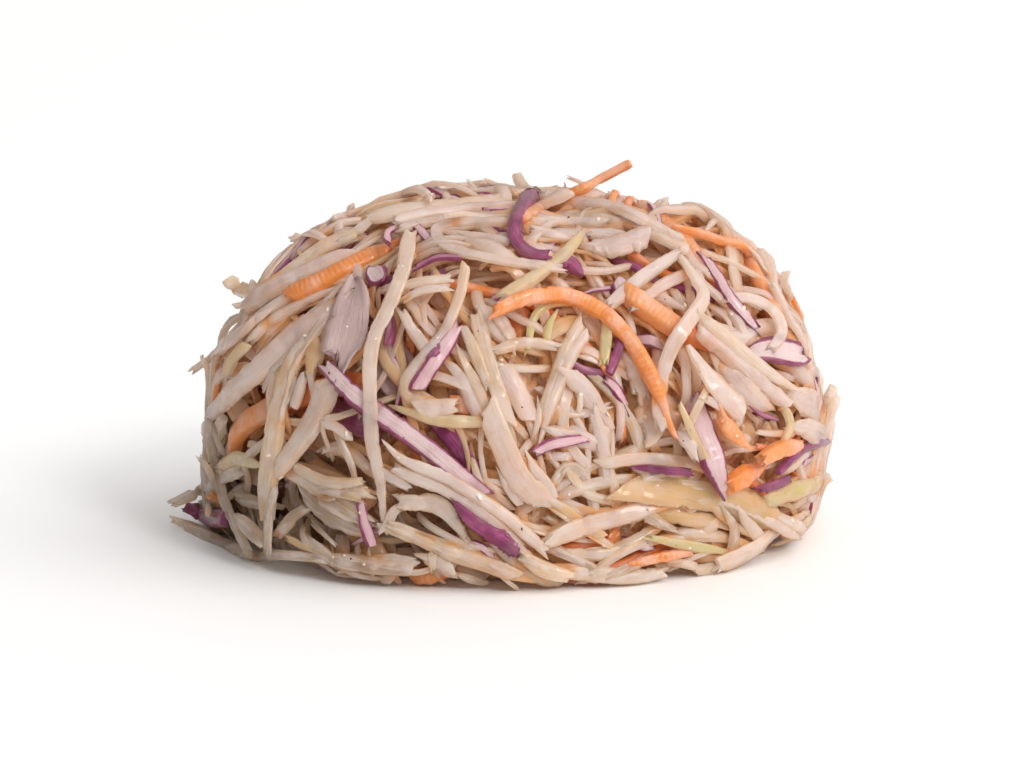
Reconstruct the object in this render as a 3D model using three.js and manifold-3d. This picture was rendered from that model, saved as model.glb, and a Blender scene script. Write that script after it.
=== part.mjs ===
// A heap of coleslaw that stands alone: long shreds of white and red cabbage and carrot in a thin
// dressing, laid over a rounded mound. Millimetres, +Z up, the viewer of the front side at -Y.
// The heap is one solid: a core with the flat foot that it rests on, and the larger shreds of its
// outside, each a flat strip laid in turn on the core and on the shreds that already lie there.
import * as THREE from "three";
import { mergeVertices } from "three/addons/utils/BufferGeometryUtils.js";
import Module from "manifold-3d";

const wasm = await Module();
wasm.setup();

// ---- The mound that the shreds lie on ----
const MOUND_WIDTH = 97;
const MOUND_DEPTH = 90;
const MOUND_HEIGHT = 52;
const MOUND_X = 2; // where the middle of the mound stands, before the heap is centred on its box
const MOUND_LEAN = 3; // how far the top stands to the right of the foot
const SHOULDER = 3; // exponent of the profile: 2 is an ellipse, more is a flatter top and steeper sides
const LUMP = 0.025; // share by which the mound swells and sinks around its side

// ---- The core, whose lumpy skin follows the mound, so that every shred is set into it ----
const CORE_RELIEF = 0.4;
const CORE_DETAIL = 6; // subdivisions of an icosahedron
const CORE_CENTRE = [MOUND_X, 0, 12];

// ---- The shreds ----
const LEAF_THICKNESS = 1;
const THICKNESS_SHARE = { white: 0.7, yellow: 0.65, carrot: 0.8, red: 0.6, purple: 0.7 };
const END_WIDTH = 0.6; // share of the width that is left at a shred's ends
const TAPER_LENGTH = 4;
const SEGMENT_LENGTH = 8;
const FACING = 0.6; // how far the flat side of a front shred turns from the mound towards the viewer
const SINK = 0.35; // how deep a shred is pressed into what it lies on
const STEP = 1.5; // spacing of the points at which a shred is laid
const SAG = 0.045; // how much a shred bends down to its support from one such point to the next
const SETTLING_ROUNDS = 60;
const FLOOR_GAP = 0.05;
const GRID = 0.01; // spacing of the places that the finished solid's corners keep to

// ---- The viewer of the front, who sees a front shred's route at its (across, up) places ----
const VIEW_ELEVATION = THREE.MathUtils.degToRad(10);
const VIEW_DISTANCE = 403;
const VIEW_AIM = [2, 23.5];
const SIGHT_REACH = 75; // how far before and behind the aim the line of sight is searched
const SIGHT_STEP = 0.5;

// ---- The shreds of the sides, the back and the top ----
const AROUND_COUNT = 74;
const AROUND_SEED = 5;
const AROUND_WIDTH = [2.8, 4.6];
const AROUND_LENGTH = [26, 58];
const AROUND_BEND = 75; // the most that one turns along its whole length, in degrees
const AROUND_LOWEST = 1.5;
const AROUND_LIFT = 1.5; // the most that a free end stands off the heap
const FRONT_FACING = 0.75; // a place that faces the viewer more than this is left to the front shreds
const GOLDEN_ANGLE = Math.PI * (3 - Math.sqrt(5));

// The heap is moved by this, so that its box is centred over the origin.
const CENTRING = [-0.49, -0.4];

// Front shreds from the lowest to the topmost: kind, width, and the route as (across, up).
const FRONT_SHREDS = [
  ["white", 2.4, [-54, 0], [-48.5, -2.5], [-42.5, -5]],
  ["white", 2.6, [2, -6], [10, -8], [22, -8.5]],
  ["yellow", 6.2, [21.5, 6.5], [30, 6], [39, 4.5], [47.5, 1]],
  ["white", 4.2, [40, 5.5], [46, 2.5], [51, -1]],
  ["yellow", 3.4, [46.5, 4], [50.5, 5.5], [54.5, 7.5]],
  ["white", 2.4, [-55, 3.5], [-49, 6.5], [-43.5, 10], [-39.5, 9]],
  ["white", 3.6, [-20.5, 51], [-11.5, 53], [-1.5, 54], [5.5, 54.5]],
  ["white", 4.0, [7.5, 53.5], [16.5, 54.5], [24, 53], [32, 49]],
  ["white", 2.8, [-45.5, 41.5], [-41.5, 39], [-35, 42.5], [-26.5, 46.5], [-19, 50]],
  ["white", 3.0, [-44, 31.5], [-39.5, 36], [-33.5, 39.5], [-26.5, 43]],
  ["carrot", 3.2, [-35.5, 37], [-30.5, 40], [-24.5, 43.5], [-19.5, 46.5]],
  ["white", 2.0, [-51.5, 26], [-48, 28.5], [-43.5, 31], [-39.5, 34]],
  ["leaf", 6.5, [-24.5, 42.5], [-25.5, 35], [-27.5, 27]],
  ["white", 3.8, [-48.5, 19.5], [-43.5, 24.5], [-36.5, 31], [-29, 35.5], [-24, 39]],
  ["white", 4.2, [-28.5, 21.5], [-31.5, 16], [-36.5, 9]],
  ["white", 2.9, [-39.5, -3.5], [-39.5, 6], [-38.5, 16], [-36, 26], [-33, 31.5]],
  ["white", 2.3, [-48.5, 17.5], [-47.5, 10.5], [-45.5, 2.5], [-42, -4.5]],
  ["white", 4.2, [-7.5, 29], [-4.5, 23.5], [-1.5, 17.5]],
  ["red", 3.0, [-6.5, 34.5], [-9, 31], [-12.5, 26], [-14, 23.5]],
  ["white", 2.2, [-5.5, 45], [-6.5, 40], [-9, 34], [-13, 29], [-16, 25], [-15.5, 22], [-11.5, 21], [-7.5, 20.5]],
  ["red", 3.1, [-29.5, 27], [-24, 22], [-16.5, 16.5], [-9, 10.5], [-2.5, 5.5]],
  ["purple", 2.6, [-7, 3.5], [-3.5, -0.5], [4, -4.5]],
  ["white", 2.9, [-15, 50.5], [-16, 44.5], [-18.5, 38], [-21.5, 31.5], [-22, 23.5], [-21.5, 14], [-20, 6.5], [-19.5, 0.5]],
  ["white", 3.0, [-19, 0], [-11.5, -3.5], [-4, -6], [3.5, -8.5]],
  ["white", 3.0, [-20.5, 13.5], [-16.5, 10], [-8.5, 6.5], [0, 1], [5, -3.5], [8.5, -7]],
  ["yellow", 3.0, [8, 31], [11, 34], [15, 36]],
  ["white", 3.0, [-3.5, 34.5], [-1.5, 28.5], [0.5, 22.5], [2, 18]],
  ["yellow", 3.4, [16.5, 36], [12.5, 30], [9.5, 22.5], [6.5, 14]],
  ["white", 3.2, [12, 27], [16, 22], [19.5, 17]],
  ["white", 4.8, [-1.5, 20.5], [1, 14], [4, 8], [8.5, 4]],
  ["white", 2.2, [17.5, 10.5], [25, 11.5], [33.5, 10.5], [39, 9]],
  ["white", 2.0, [9.5, 6.5], [12, 10], [15, 8.5], [16.5, 4], [16.5, -1.5], [17.5, -4.5]],
  ["white", 2.7, [9, -3.5], [16, -0.5], [22.5, 2], [28, 3]],
  ["white", 2.3, [37, 3], [39.5, -1], [38, -5], [35.5, -7.5]],
  ["leaf", 6.0, [34, 16.5], [35.5, 11.5], [37, 6]],
  ["white", 4.2, [23.5, 21.5], [24, 16]],
  ["carrot", 3.6, [22, 40], [26.5, 37], [31.5, 33.5], [35.5, 31]],
  ["white", 3.0, [47.5, 20.5], [51.5, 21.5], [53.5, 20], [51.5, 18]],
  ["red", 3.0, [41.5, 29], [46.5, 29], [51, 28.5]],
  ["white", 2.4, [39, 39], [43.5, 39], [47.5, 37], [48.5, 33.5], [47, 30]],
  ["white", 3.4, [33.5, 35.5], [39, 31], [44.5, 25.5], [49.5, 20.5]],
  ["purple", 2.0, [34, 45], [37, 41], [39.5, 37], [43, 32.5]],
  ["white", 2.7, [31.5, 46.5], [34.5, 42], [35.5, 39], [32, 34], [29.5, 29], [28, 21.5], [28.5, 16.5]],
  ["yellow", 3.6, [14, 49], [10, 45], [5, 41], [1, 39]],
  ["white", 2.3, [19.5, 52], [6.5, 52], [-6.5, 52], [-10.5, 50.5], [-7.5, 47.5], [1.5, 45.5], [11.5, 44]],
  ["carrot", 2.5, [-1, 36.5], [5, 39], [12, 39.5], [18.5, 36.5], [23.5, 31], [27, 24.5], [29.5, 18], [31, 15]],
  ["carrot", 2.3, [2, 51.5], [7, 54.5], [14.5, 58], [22, 61.5]],
  ["purple", 2.1, [6, 56.5], [4, 53.5], [3, 50.5], [4, 48], [6.5, 46.5], [8.5, 46.5]],
];

// ---- Vectors as arrays of three ----
const add = (a, b, scale = 1) => a.map((value, i) => value + scale * b[i]);
const dot = (a, b) => a[0] * b[0] + a[1] * b[1] + a[2] * b[2];
const length = (a) => Math.hypot(...a);
const unit = (a) => add([0, 0, 0], a, 1 / length(a));
const cross = (a, b) => [
  a[1] * b[2] - a[2] * b[1],
  a[2] * b[0] - a[0] * b[2],
  a[0] * b[1] - a[1] * b[0],
];

// A repeatable run of random numbers from 0 to 1.
function randomRun(seed) {
  let state = seed;
  return () => {
    state = (Math.imul(state, 1664525) + 1013904223) >>> 0;
    return state / 2 ** 32;
  };
}

// 0 on the mound, below 0 inside it; about 1 at twice its size.
function moundField([x, y, z]) {
  const up = Math.abs(z) / MOUND_HEIGHT;
  const right = (x - MOUND_X - MOUND_LEAN * up * up) / (MOUND_WIDTH / 2);
  const back = y / (MOUND_DEPTH / 2);
  const out = Math.hypot(right, back);
  const turn = Math.atan2(back, right);
  const lumps = Math.sin(3 * turn + 1 + 2 * up) + 0.8 * Math.sin(5 * turn - 3 * up);
  return (out ** SHOULDER + up ** SHOULDER) ** (1 / SHOULDER) / (1 + LUMP * lumps) - 1;
}

// A place's distance outside the mound, and the direction straight out of the mound there.
function offMound(place) {
  const reach = 0.1;
  const here = moundField(place);
  const slope = [0, 1, 2].map((axis) => {
    const beside = place.slice();
    beside[axis] += reach;
    return (moundField(beside) - here) / reach;
  });
  return { distance: here / length(slope), outward: unit(slope) };
}

// The mound's own surface under a place.
function ontoMound(place) {
  let onto = place;
  for (let round = 0; round < 3; round++) {
    const { distance, outward } = offMound(onto);
    onto = add(onto, outward, -distance);
  }
  return onto;
}

// ---- Lines of sight from the viewer of the front ----
const SIGHT = [0, Math.cos(VIEW_ELEVATION), -Math.sin(VIEW_ELEVATION)];
const SIGHT_UP = [0, Math.sin(VIEW_ELEVATION), Math.cos(VIEW_ELEVATION)];
const onView = ([across, up]) => add([across, 0, 0], SIGHT_UP, up);
const EYE = add(onView(VIEW_AIM), SIGHT, -VIEW_DISTANCE);

// The first place on the line of sight to (across, up) that is `height` off the mound, or the one
// that passes it closest, no lower than `lowest` above the floor.
function sighted(place, height, lowest) {
  const towards = unit(add(onView(place), EYE, -1));
  let nearest = null;
  for (let reach = VIEW_DISTANCE - SIGHT_REACH; reach < VIEW_DISTANCE + SIGHT_REACH; reach += SIGHT_STEP) {
    const spot = add(EYE, towards, reach);
    if (spot[2] < lowest) break;
    const { distance } = offMound(spot);
    if (!nearest || distance < nearest.distance) nearest = { spot, distance };
    if (distance <= height) break;
  }
  return nearest.spot;
}

// ---- Laying shreds: the heap grows by each one's thickness where it lies ----
const CELL = 1.5;
const heapTop = new Map();
const cellOf = (place) => place.map((value) => Math.round(value / CELL)).join(" ");

// The cells of the mound under a shred at one of its points, from edge to edge.
function cellsUnder(foot, across, width) {
  const steps = Math.max(1, Math.ceil(width / CELL));
  const cells = [];
  for (let i = 0; i <= steps; i++) {
    cells.push(cellOf(ontoMound(add(foot, across, width * (i / steps - 0.5)))));
  }
  return cells;
}

// The height at which a shred's underside lies at each point: on the heap, and bridging its hollows.
function settledHeights(cells) {
  const support = cells.map((under) =>
    Math.max(...under.map((cell) => (heapTop.get(cell) ?? 0) - SINK)),
  );
  let heights = support.slice();
  for (let round = 0; round < SETTLING_ROUNDS; round++) {
    heights = heights.map((height, i) => {
      const before = heights[Math.max(i - 1, 0)];
      const after = heights[Math.min(i + 1, heights.length - 1)];
      return Math.max(support[i], (before + after) / 2 - SAG);
    });
  }
  return heights;
}

function raiseHeap(cells, heights, thickness) {
  cells.forEach((under, i) =>
    under.forEach((cell) => heapTop.set(cell, Math.max(heapTop.get(cell) ?? 0, heights[i] + thickness))),
  );
}

const smoothCurve = (places) =>
  new THREE.CatmullRomCurve3(places.map((place) => new THREE.Vector3(...place)), false, "catmullrom", 0.5);

// Evenly spaced places along a smooth curve through the given ones.
function spacedAlong(places, spacing) {
  const curve = smoothCurve(places);
  const count = Math.max(3, Math.round(curve.getLength() / spacing));
  return curve.getSpacedPoints(count).map((point) => point.toArray());
}

const directionAt = (places, i) =>
  unit(add(places[Math.min(i + 1, places.length - 1)], places[Math.max(i - 1, 0)], -1));

// For each point of a shred: the mound under it, the way out of the mound, and the way across.
function footing(places) {
  return places.map((place, i) => {
    const { outward } = offMound(place);
    return { foot: ontoMound(place), outward, across: unit(cross(outward, directionAt(places, i))) };
  });
}

const thicknessOf = (kind, width) =>
  kind === "leaf" ? LEAF_THICKNESS : THICKNESS_SHARE[kind] * width;

// A front shred: its route as seen is kept, and only its distance from the viewer follows the heap.
function layFrontShred([kind, width, ...route]) {
  const thickness = thicknessOf(kind, width);
  const half = thickness / 2;
  const lowest = half + FLOOR_GAP;
  const seen = spacedAlong(route.map((place) => [...place, 0]), STEP);
  const first = seen.map((place) => sighted(place, half, lowest));
  const cells = footing(first).map(({ foot, across }) => cellsUnder(foot, across, width));
  const heights = settledHeights(cells);
  raiseHeap(cells, heights, thickness);
  const places = seen.map((place, i) => sighted(place, heights[i] + half, lowest));
  return { kind, width, thickness, places, facing: FACING };
}

// A route over the mound from its middle both ways, turning by `bend` degrees in all.
function routeOverMound(middle, heading, lengthWanted, bend) {
  const walk = (sense) => {
    let place = middle;
    let { outward } = offMound(place);
    const east = unit(cross([0, 0, 1], outward));
    const north = cross(outward, east);
    let ahead = add(add([0, 0, 0], east, sense * Math.cos(heading)), north, sense * Math.sin(heading));
    const steps = Math.round(lengthWanted / 2 / STEP);
    const turn = THREE.MathUtils.degToRad(bend) / (2 * steps);
    const places = [];
    for (let i = 0; i < steps; i++) {
      ahead = unit(add(ahead, cross(outward, ahead), sense * turn));
      place = ontoMound(add(place, ahead, STEP));
      ({ outward } = offMound(place));
      ahead = unit(add(ahead, outward, -dot(ahead, outward)));
      if (place[2] < AROUND_LOWEST) break;
      places.push(place);
    }
    return places;
  };
  return [...walk(-1).reverse(), middle, ...walk(1)];
}

function layShredAround(kind, width, route, endLift) {
  const thickness = thicknessOf(kind, width);
  const feet = footing(route);
  const cells = feet.map(({ foot, across }) => cellsUnder(foot, across, width));
  const heights = settledHeights(cells);
  raiseHeap(cells, heights, thickness);
  const places = feet.map(({ foot, outward }, i) => {
    const along = (2 * i) / (feet.length - 1) - 1;
    const lift = endLift * Math.max(0, along) ** 4;
    const laid = add(foot, outward, heights[i] + lift + thickness / 2);
    laid[2] = Math.max(laid[2], width / 2 + FLOOR_GAP);
    return laid;
  });
  return { kind, width, thickness, places, facing: 0 };
}

const KIND_SHARES = [["white", 0.7], ["yellow", 0.78], ["carrot", 0.9], ["red", 0.97], ["purple", 1]];

// Shreds spread evenly over the whole mound, the longest first.
function layShredsAround() {
  const random = randomRun(AROUND_SEED);
  const between = ([low, high]) => low + (high - low) * random();
  const toViewer = add([0, 0, 0], SIGHT, -1);
  const drawn = [];
  for (let i = 0; i < AROUND_COUNT; i++) {
    const rise = (i + 0.5) / AROUND_COUNT;
    const turn = i * GOLDEN_ANGLE;
    const flat = Math.sqrt(1 - rise * rise);
    const way = [flat * Math.cos(turn), flat * Math.sin(turn), rise];
    const start = add([MOUND_X, 0, AROUND_LOWEST + 2], way, MOUND_WIDTH / 2);
    const share = random();
    const kind = KIND_SHARES.find(([, upTo]) => share <= upTo)[0];
    const shred = {
      kind,
      middle: ontoMound(start),
      width: between(AROUND_WIDTH),
      length: between(AROUND_LENGTH),
      heading: between([0, Math.PI]),
      bend: between([-AROUND_BEND, AROUND_BEND]),
      lift: AROUND_LIFT * random() ** 2,
    };
    if (dot(offMound(shred.middle).outward, toViewer) < FRONT_FACING) drawn.push(shred);
  }
  drawn.sort((a, b) => b.length - a.length);
  return drawn.map((shred) =>
    layShredAround(
      shred.kind,
      shred.width,
      routeOverMound(shred.middle, shred.heading, shred.length, shred.bend),
      shred.lift,
    ),
  );
}

// ---- Solids ----
function solidOf(geometry) {
  geometry.deleteAttribute("normal");
  geometry.deleteAttribute("uv");
  const merged = mergeVertices(geometry, 1e-4);
  return new wasm.Manifold(
    new wasm.Mesh({
      numProp: 3,
      vertProperties: merged.attributes.position.array,
      triVerts: new Uint32Array(merged.index.array),
    }),
  );
}

// A strip of rectangular section, bent along its places with its flat side on the heap.
function stripSolid({ kind, width, thickness, places, facing }) {
  const curve = smoothCurve(places);
  const reach = curve.getLength();
  const segments = Math.max(2, Math.round(reach / SEGMENT_LENGTH));
  const spine = curve.getSpacedPoints(segments).map((point) => point.toArray());
  const toViewer = add([0, 0, 0], SIGHT, -1);
  const frames = spine.map((place, i) => {
    const ahead = directionAt(spine, i);
    const { outward } = offMound(place);
    const across = unit(cross(unit(add(outward, toViewer, facing)), ahead));
    return { place, across, out: cross(ahead, across) };
  });
  const strip = new THREE.BoxGeometry(segments, width, thickness, segments, 1, 1);
  const corners = strip.attributes.position;
  for (let i = 0; i < corners.count; i++) {
    const at = Math.round(corners.getX(i) + segments / 2);
    const fromEnd = (Math.min(at, segments - at) * reach) / segments;
    const taper = kind === "leaf" ? 1 : Math.min(1, END_WIDTH + ((1 - END_WIDTH) * fromEnd) / TAPER_LENGTH);
    const { place, across, out } = frames[at];
    const corner = add(add(place, across, corners.getY(i) * taper), out, corners.getZ(i));
    corner[2] = Math.max(corner[2], FLOOR_GAP);
    corners.setXYZ(i, ...corner);
  }
  return solidOf(strip);
}

// The core: a ball drawn out to the mound, with relief about as deep as a shred is pressed in.
function coreSolid() {
  const ball = new THREE.IcosahedronGeometry(1, CORE_DETAIL);
  const corners = ball.attributes.position;
  for (let i = 0; i < corners.count; i++) {
    const way = [corners.getX(i), corners.getY(i), corners.getZ(i)];
    let out = MOUND_WIDTH / 2;
    for (let round = 0; round < 12; round++) out /= 1 + moundField(add(CORE_CENTRE, way, out));
    const relief = Math.sin(9 * way[0] + 4 * way[2]) * Math.sin(8 * way[1] - 5 * way[2]);
    corners.setXYZ(i, ...add(CORE_CENTRE, way, out + CORE_RELIEF * relief));
  }
  return solidOf(ball);
}

// Everything below the floor, as a slab to cut away.
function underFloor() {
  const slab = new THREE.BoxGeometry(4 * MOUND_WIDTH, 4 * MOUND_DEPTH, MOUND_HEIGHT);
  slab.translate(0, 0, -MOUND_HEIGHT / 2);
  return solidOf(slab);
}

// The fused heap, without sealed hollows and loose scraps.
function heapSolid() {
  const shreds = [...layShredsAround(), ...FRONT_SHREDS.map(layFrontShred)];
  let heap = coreSolid().subtract(underFloor());
  for (const shred of shreds) heap = heap.add(stripSolid(shred));
  return largestBody(onGrid(largestBody(heap)));
}

const largestBody = (solid) =>
  solid.decompose().reduce((largest, body) => (body.volume() > largest.volume() ? body : largest));

// The solid with its corners on a fine grid, so that no two of them nearly meet.
function onGrid(solid) {
  const { vertProperties, triVerts } = solid.getMesh();
  const snapped = vertProperties.map((value) => Math.round(value / GRID) * GRID);
  const geometry = new THREE.BufferGeometry();
  geometry.setAttribute("position", new THREE.BufferAttribute(snapped, 3));
  geometry.setIndex(new THREE.BufferAttribute(triVerts, 1));
  const { attributes, index } = mergeVertices(geometry, GRID / 4);
  const triangles = [];
  for (let i = 0; i < index.count; i += 3) {
    const corners = [index.getX(i), index.getX(i + 1), index.getX(i + 2)];
    if (new Set(corners).size === 3) triangles.push(...corners);
  }
  return new wasm.Manifold(
    new wasm.Mesh({
      numProp: 3,
      vertProperties: attributes.position.array,
      triVerts: new Uint32Array(triangles),
    }),
  );
}

function heapMesh() {
  const { vertProperties, triVerts } = heapSolid().getMesh();
  const geometry = new THREE.BufferGeometry();
  geometry.setAttribute("position", new THREE.BufferAttribute(new Float32Array(vertProperties), 3));
  geometry.setIndex(new THREE.BufferAttribute(new Uint32Array(triVerts), 1));
  geometry.computeVertexNormals();
  const material = new THREE.MeshStandardMaterial({ color: 0xe4cdb4, roughness: 0.4, metalness: 0 });
  const mesh = new THREE.Mesh(geometry, material);
  mesh.name = "coleslaw";
  mesh.position.set(...CENTRING, 0);
  return mesh;
}

const coleslaw = new THREE.Group();
coleslaw.add(heapMesh());
export default coleslaw;
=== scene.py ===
import math

import bpy
import numpy as np
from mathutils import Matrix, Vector
from mathutils.bvhtree import BVHTree


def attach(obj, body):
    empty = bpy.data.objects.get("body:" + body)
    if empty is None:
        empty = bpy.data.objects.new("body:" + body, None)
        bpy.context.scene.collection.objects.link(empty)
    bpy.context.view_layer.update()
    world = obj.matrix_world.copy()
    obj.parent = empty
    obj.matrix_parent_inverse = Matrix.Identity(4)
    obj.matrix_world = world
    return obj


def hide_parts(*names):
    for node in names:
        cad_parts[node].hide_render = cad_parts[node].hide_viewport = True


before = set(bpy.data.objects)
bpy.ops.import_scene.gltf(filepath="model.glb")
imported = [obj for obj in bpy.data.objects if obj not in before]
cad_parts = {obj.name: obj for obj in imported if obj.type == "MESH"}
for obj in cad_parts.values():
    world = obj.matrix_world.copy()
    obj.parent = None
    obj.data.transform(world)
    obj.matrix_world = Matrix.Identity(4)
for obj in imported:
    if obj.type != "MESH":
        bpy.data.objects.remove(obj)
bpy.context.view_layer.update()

# A heap of coleslaw. Lengths are millimetres until a mesh, lamp or camera is made.
MM = 0.001

# ---- The mound that the shreds lie on ----
MOUND_WIDTH = 97
MOUND_DEPTH = 90
MOUND_HEIGHT = 52
MOUND_X = 2
MOUND_LEAN = 3
SHOULDER = 3
LUMP = 0.025
CENTRING = np.array([-0.49, -0.4, 0.0])

# ---- Laying shreds ----
THICKNESS_SHARE = {"white": 0.54, "yellow": 0.54, "carrot": 0.75, "red": 0.55}
STURDY = 2.8 # the width from which wider shreds are only a little thicker
STURDY_SHARE = 0.2
SKIN_SHARE = 0.7 # thickness over width of a shred that is skin all over
CARROT_RIB = 0.85 # spacing of the ribs that a grater leaves
LEAF_THICKNESS = 1.0
SINK = 0.35
STEP = 1.5
SAG = 0.045 # how far each step of a shred hangs below the line between its neighbours
LOOSE_SAG = 0.12
SETTLING_ROUNDS = 60
TUCK = 1.5 # how far the ends of the loose shreds dip
TUCK_REACH = 5.0
FLOOR_GAP = 0.05
CELL = 1.5
BESIDE = [(x, y, z) for x in (-1, 0, 1) for y in (-1, 0, 1) for z in (-1, 0, 1)]
FACING = 0.6 # how far the flat sides of the front shreds turn to the viewer
LOWER_PRESS = 0.36 # how much of its thickness a low front shred adds to the heap
UPPER_PRESS = 0.5
PALE_KINDS = ("white", "white", "pink", "ivory")
SLIMMER = (0.6, 1) # how much of its width the end of a loose shred keeps
SPOTS_FROM = 3.0 # the height that random places on the mound are aimed from

# ---- Wide front shreds that part in two ----
FORK_WIDTH = 2.6
FORK_SHARE = 0.3
FORK_APART = 0.24
FORK_OPENING = (0.3, 1.1)
FORK_WIDTHS = (0.48, 0.66)
FORK_THICKNESS = (0.7, 0.9)
FORK_VARIETY = (0.85, 1.1)
FORK_STRAY = 0.2
FORK_STAGGER = 5 # each part starts and ends within this part of the whole

# ---- The viewer of the front ----
VIEW_ELEVATION = math.radians(10)
VIEW_DISTANCE = 403
VIEW_AIM = (2, 23.5)
SIGHT_REACH = 75
SIGHT_STEP = 0.5
FRAME_CENTRE = (2.6, 24.3)
LENS = 82.2

# ---- The larger shreds of the sides, the back and the top ----
AROUND_COUNT = 74
AROUND_SEED = 5
AROUND_WIDTH = (2.8, 4.6)
AROUND_LENGTH = (26, 58)
AROUND_BEND = 75
AROUND_LOWEST = 1.5
LOOSE_LOWEST = 0.4
AROUND_LIFT = 1.5
FRONT_FACING = 0.75
SPLIT_SHARE = (0.45, 0.85) # how much of its length each part of a split shred keeps
SPLIT_ODDS = 0.85
SPLIT_IN_THREE = 3.7 # the width from which a shred splits in three
SPLIT_CROSSING = 2.2
SPLIT_SKEW = 0.5
SPLIT_LIFT = 0.25
SPLIT_WIDTHS = (0.85, 1.25)
SPLIT_THICKEST = 0.75 # of its width
GOLDEN_ANGLE = math.pi * (3 - math.sqrt(5))

# ---- Narrower shreds laid among those, clear of the front ----
# Each round: how many, how long, how wide, and the fewest steps that one keeps.
OUTER_ROUNDS = [
    (1500, (14, 50), (1.4, 3.8), 10),
    (650, (9, 26), (0.9, 2.2), 5),
]
OUTER_SEED = 23
OUTER_FACING = 0.4
OUTER_TOP = 5.2
OUTER_SPREAD = 0.95
OUTER_BEND = 80
CURL_SHARE = 0.14
CURL = 150
END_LIFT = 4.5 # how far the end of an outer shred may stand off

# ---- Thin bits at the front, between the lower shreds and the upper ones ----
FINE_COUNT = 520
FINE_SEED = 41
FINE_WIDTH = (0.9, 2.0)
FINE_LENGTH = (8, 30)
FINE_TOP = 5.0
FINE_SPREAD = 0.35
FINE_FACING = 0.2
FINE_HOLLOW = 1.6

# ---- The shreds packed under all of them ----
# Each round: how many, how long and how wide.
FILL_ROUNDS = [
    (1500, (26, 56), (1.8, 3.2)),
    (2600, (16, 44), (1.3, 2.5)),
    (3000, (9, 22), (0.8, 1.6)),
]
FILL_SEED = 11
FILL_FLOOR = -3.4
FILL_OPEN = 1.3
FILL_PRESS = 1.6
FILL_BEND = 100
FILL_SHORTEST = 5
FILL_FACING = 0.3
FILL_SPREAD = 0.8
FOLLOW_SPREAD = 0.32
ROOF_BLOCK = 3
ROOF_SHARE = 0.97 # how far up the gaps between the outer shreds are filled
HOLLOWS = [(-43, 8, 14, 6.0), (-12, 11, 7, 5.0), (-28, 13, 8, 5.0), (-20, 28, 5, 3.5)] # x, z, reach, depth
DEEPEST_HOLLOW = max(depth for *_, depth in HOLLOWS)
HOLLOW_PRESS = 0.75
SMALL_WIDTH = 1.9 # packed shreds below this are a piece of their own
BACK_FROM = 15 # outer shreds behind this are a piece of their own


def running_shares(**odds):
    """The kinds with their odds added up."""
    return list(zip(odds, np.cumsum(list(odds.values())).round(6).tolist()))


AROUND_SHARES = running_shares(white=0.7, yellow=0.08, carrot=0.12, red=0.07, purple=0.03)
OUTER_SHARES = running_shares(
    white=0.6, pink=0.1, ivory=0.1, yellow=0.05, carrot=0.07, red=0.05, purple=0.03
)
FILL_SHARES = running_shares(
    white=0.6, pink=0.12, ivory=0.12, yellow=0.07, carrot=0.05, red=0.03, purple=0.01
)

# ---- Kinds of shred: family, range of tones, how far it is skin all over, how much skin its rim shows ----
KINDS = {
    "white": ("white", (0.1, 0.5), 0, 1),
    "pink": ("white", (0.0, 0.14), 0, 1),
    "ivory": ("white", (0.62, 0.8), 0, 1),
    # White cabbage turned grey: painted shade for shreds that lie in shade.
    "grey": ("white", (0.92, 1.0), 0, 1),
    "bulge": ("white", (0.3, 0.4), 0, 1),
    "yellow": ("yellow", (0.0, 0.35), 0, 1),
    "olive": ("yellow", (0.5, 0.65), 0, 1),
    "lime": ("yellow", (0.9, 1.0), 0, 1),
    "carrot": ("carrot", (0.0, 1.0), 0, 1),
    "red": ("red", (0.5, 0.9), 0.1, 1),
    "lilac": ("leaf", (0.75, 1.0), 0.0, 0.95),
    "mauve": ("leaf", (-0.4, -0.3), 0.0, 0.35),
    "magenta": ("red", (0.2, 0.4), 0.5, 1),
    "purple": ("red", (0.2, 0.5), 1.0, 1),
}
BROAD = ("lilac", "mauve", "bulge")

# Shreds at the front that are seen between the others: kind, width, and the route as (across, up).
DEEP_SHREDS = [
    ("purple", 3.6, (-30, 20.5), (-25.5, 18.5), (-20, 15.5)),
    ("mauve", 6.5, (-20.5, 34), (-18, 28), (-13, 21)),
    ("purple", 3.0, (-14, 23), (-8, 15.5), (-3.5, 10)),
    ("carrot", 2.4, (-39, 26.5), (-40, 23.5), (-41, 20)),
    ("carrot", 1.8, (-46, 7), (-44, 4)),
    ("carrot", 3.4, (0.5, 49.5), (5.5, 49)),
    ("carrot", 3.8, (4, 40), (4, 36), (4.5, 32)),
    ("carrot", 2.1, (-6, 37), (-4.5, 31.5), (-3, 26)),
    ("carrot", 2.6, (-8, 21), (-2, 19.5)),
    ("carrot", 2.8, (12, 7.5), (17, 6)),
    ("carrot", 2.4, (11, -4.5), (15, -3.5), (19, -3)),
    ("carrot", 2.0, (18, -4), (21, -1)),
    ("carrot", 3.0, (35.5, 23), (38.5, 21)),
    ("yellow", 3.4, (-31.5, 10), (-27, 6.5), (-22, 3)),
    ("olive", 3.0, (-45, 18), (-42, 12.5), (-40, 7)),
    ("grey", 4.0, (-46, 21), (-43, 16), (-41, 11)),
    ("yellow", 3.4, (7, 34), (9, 30), (9, 24)),
    ("yellow", 3.0, (14, 35), (16.5, 30), (17, 25)),
    ("yellow", 3.0, (27.5, 14), (32, 12.5)),
    ("olive", 2.4, (24, 24), (23, 19), (24, 13)),
    ("purple", 1.8, (21, 34), (20.5, 30), (19, 26)),
    ("purple", 2.0, (37, 22), (40, 20)),
    ("lilac", 4.5, (-19, 47.5), (-20.5, 43), (-20, 38)),
    ("lime", 2.0, (29, -1), (33, -3)),
]

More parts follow.
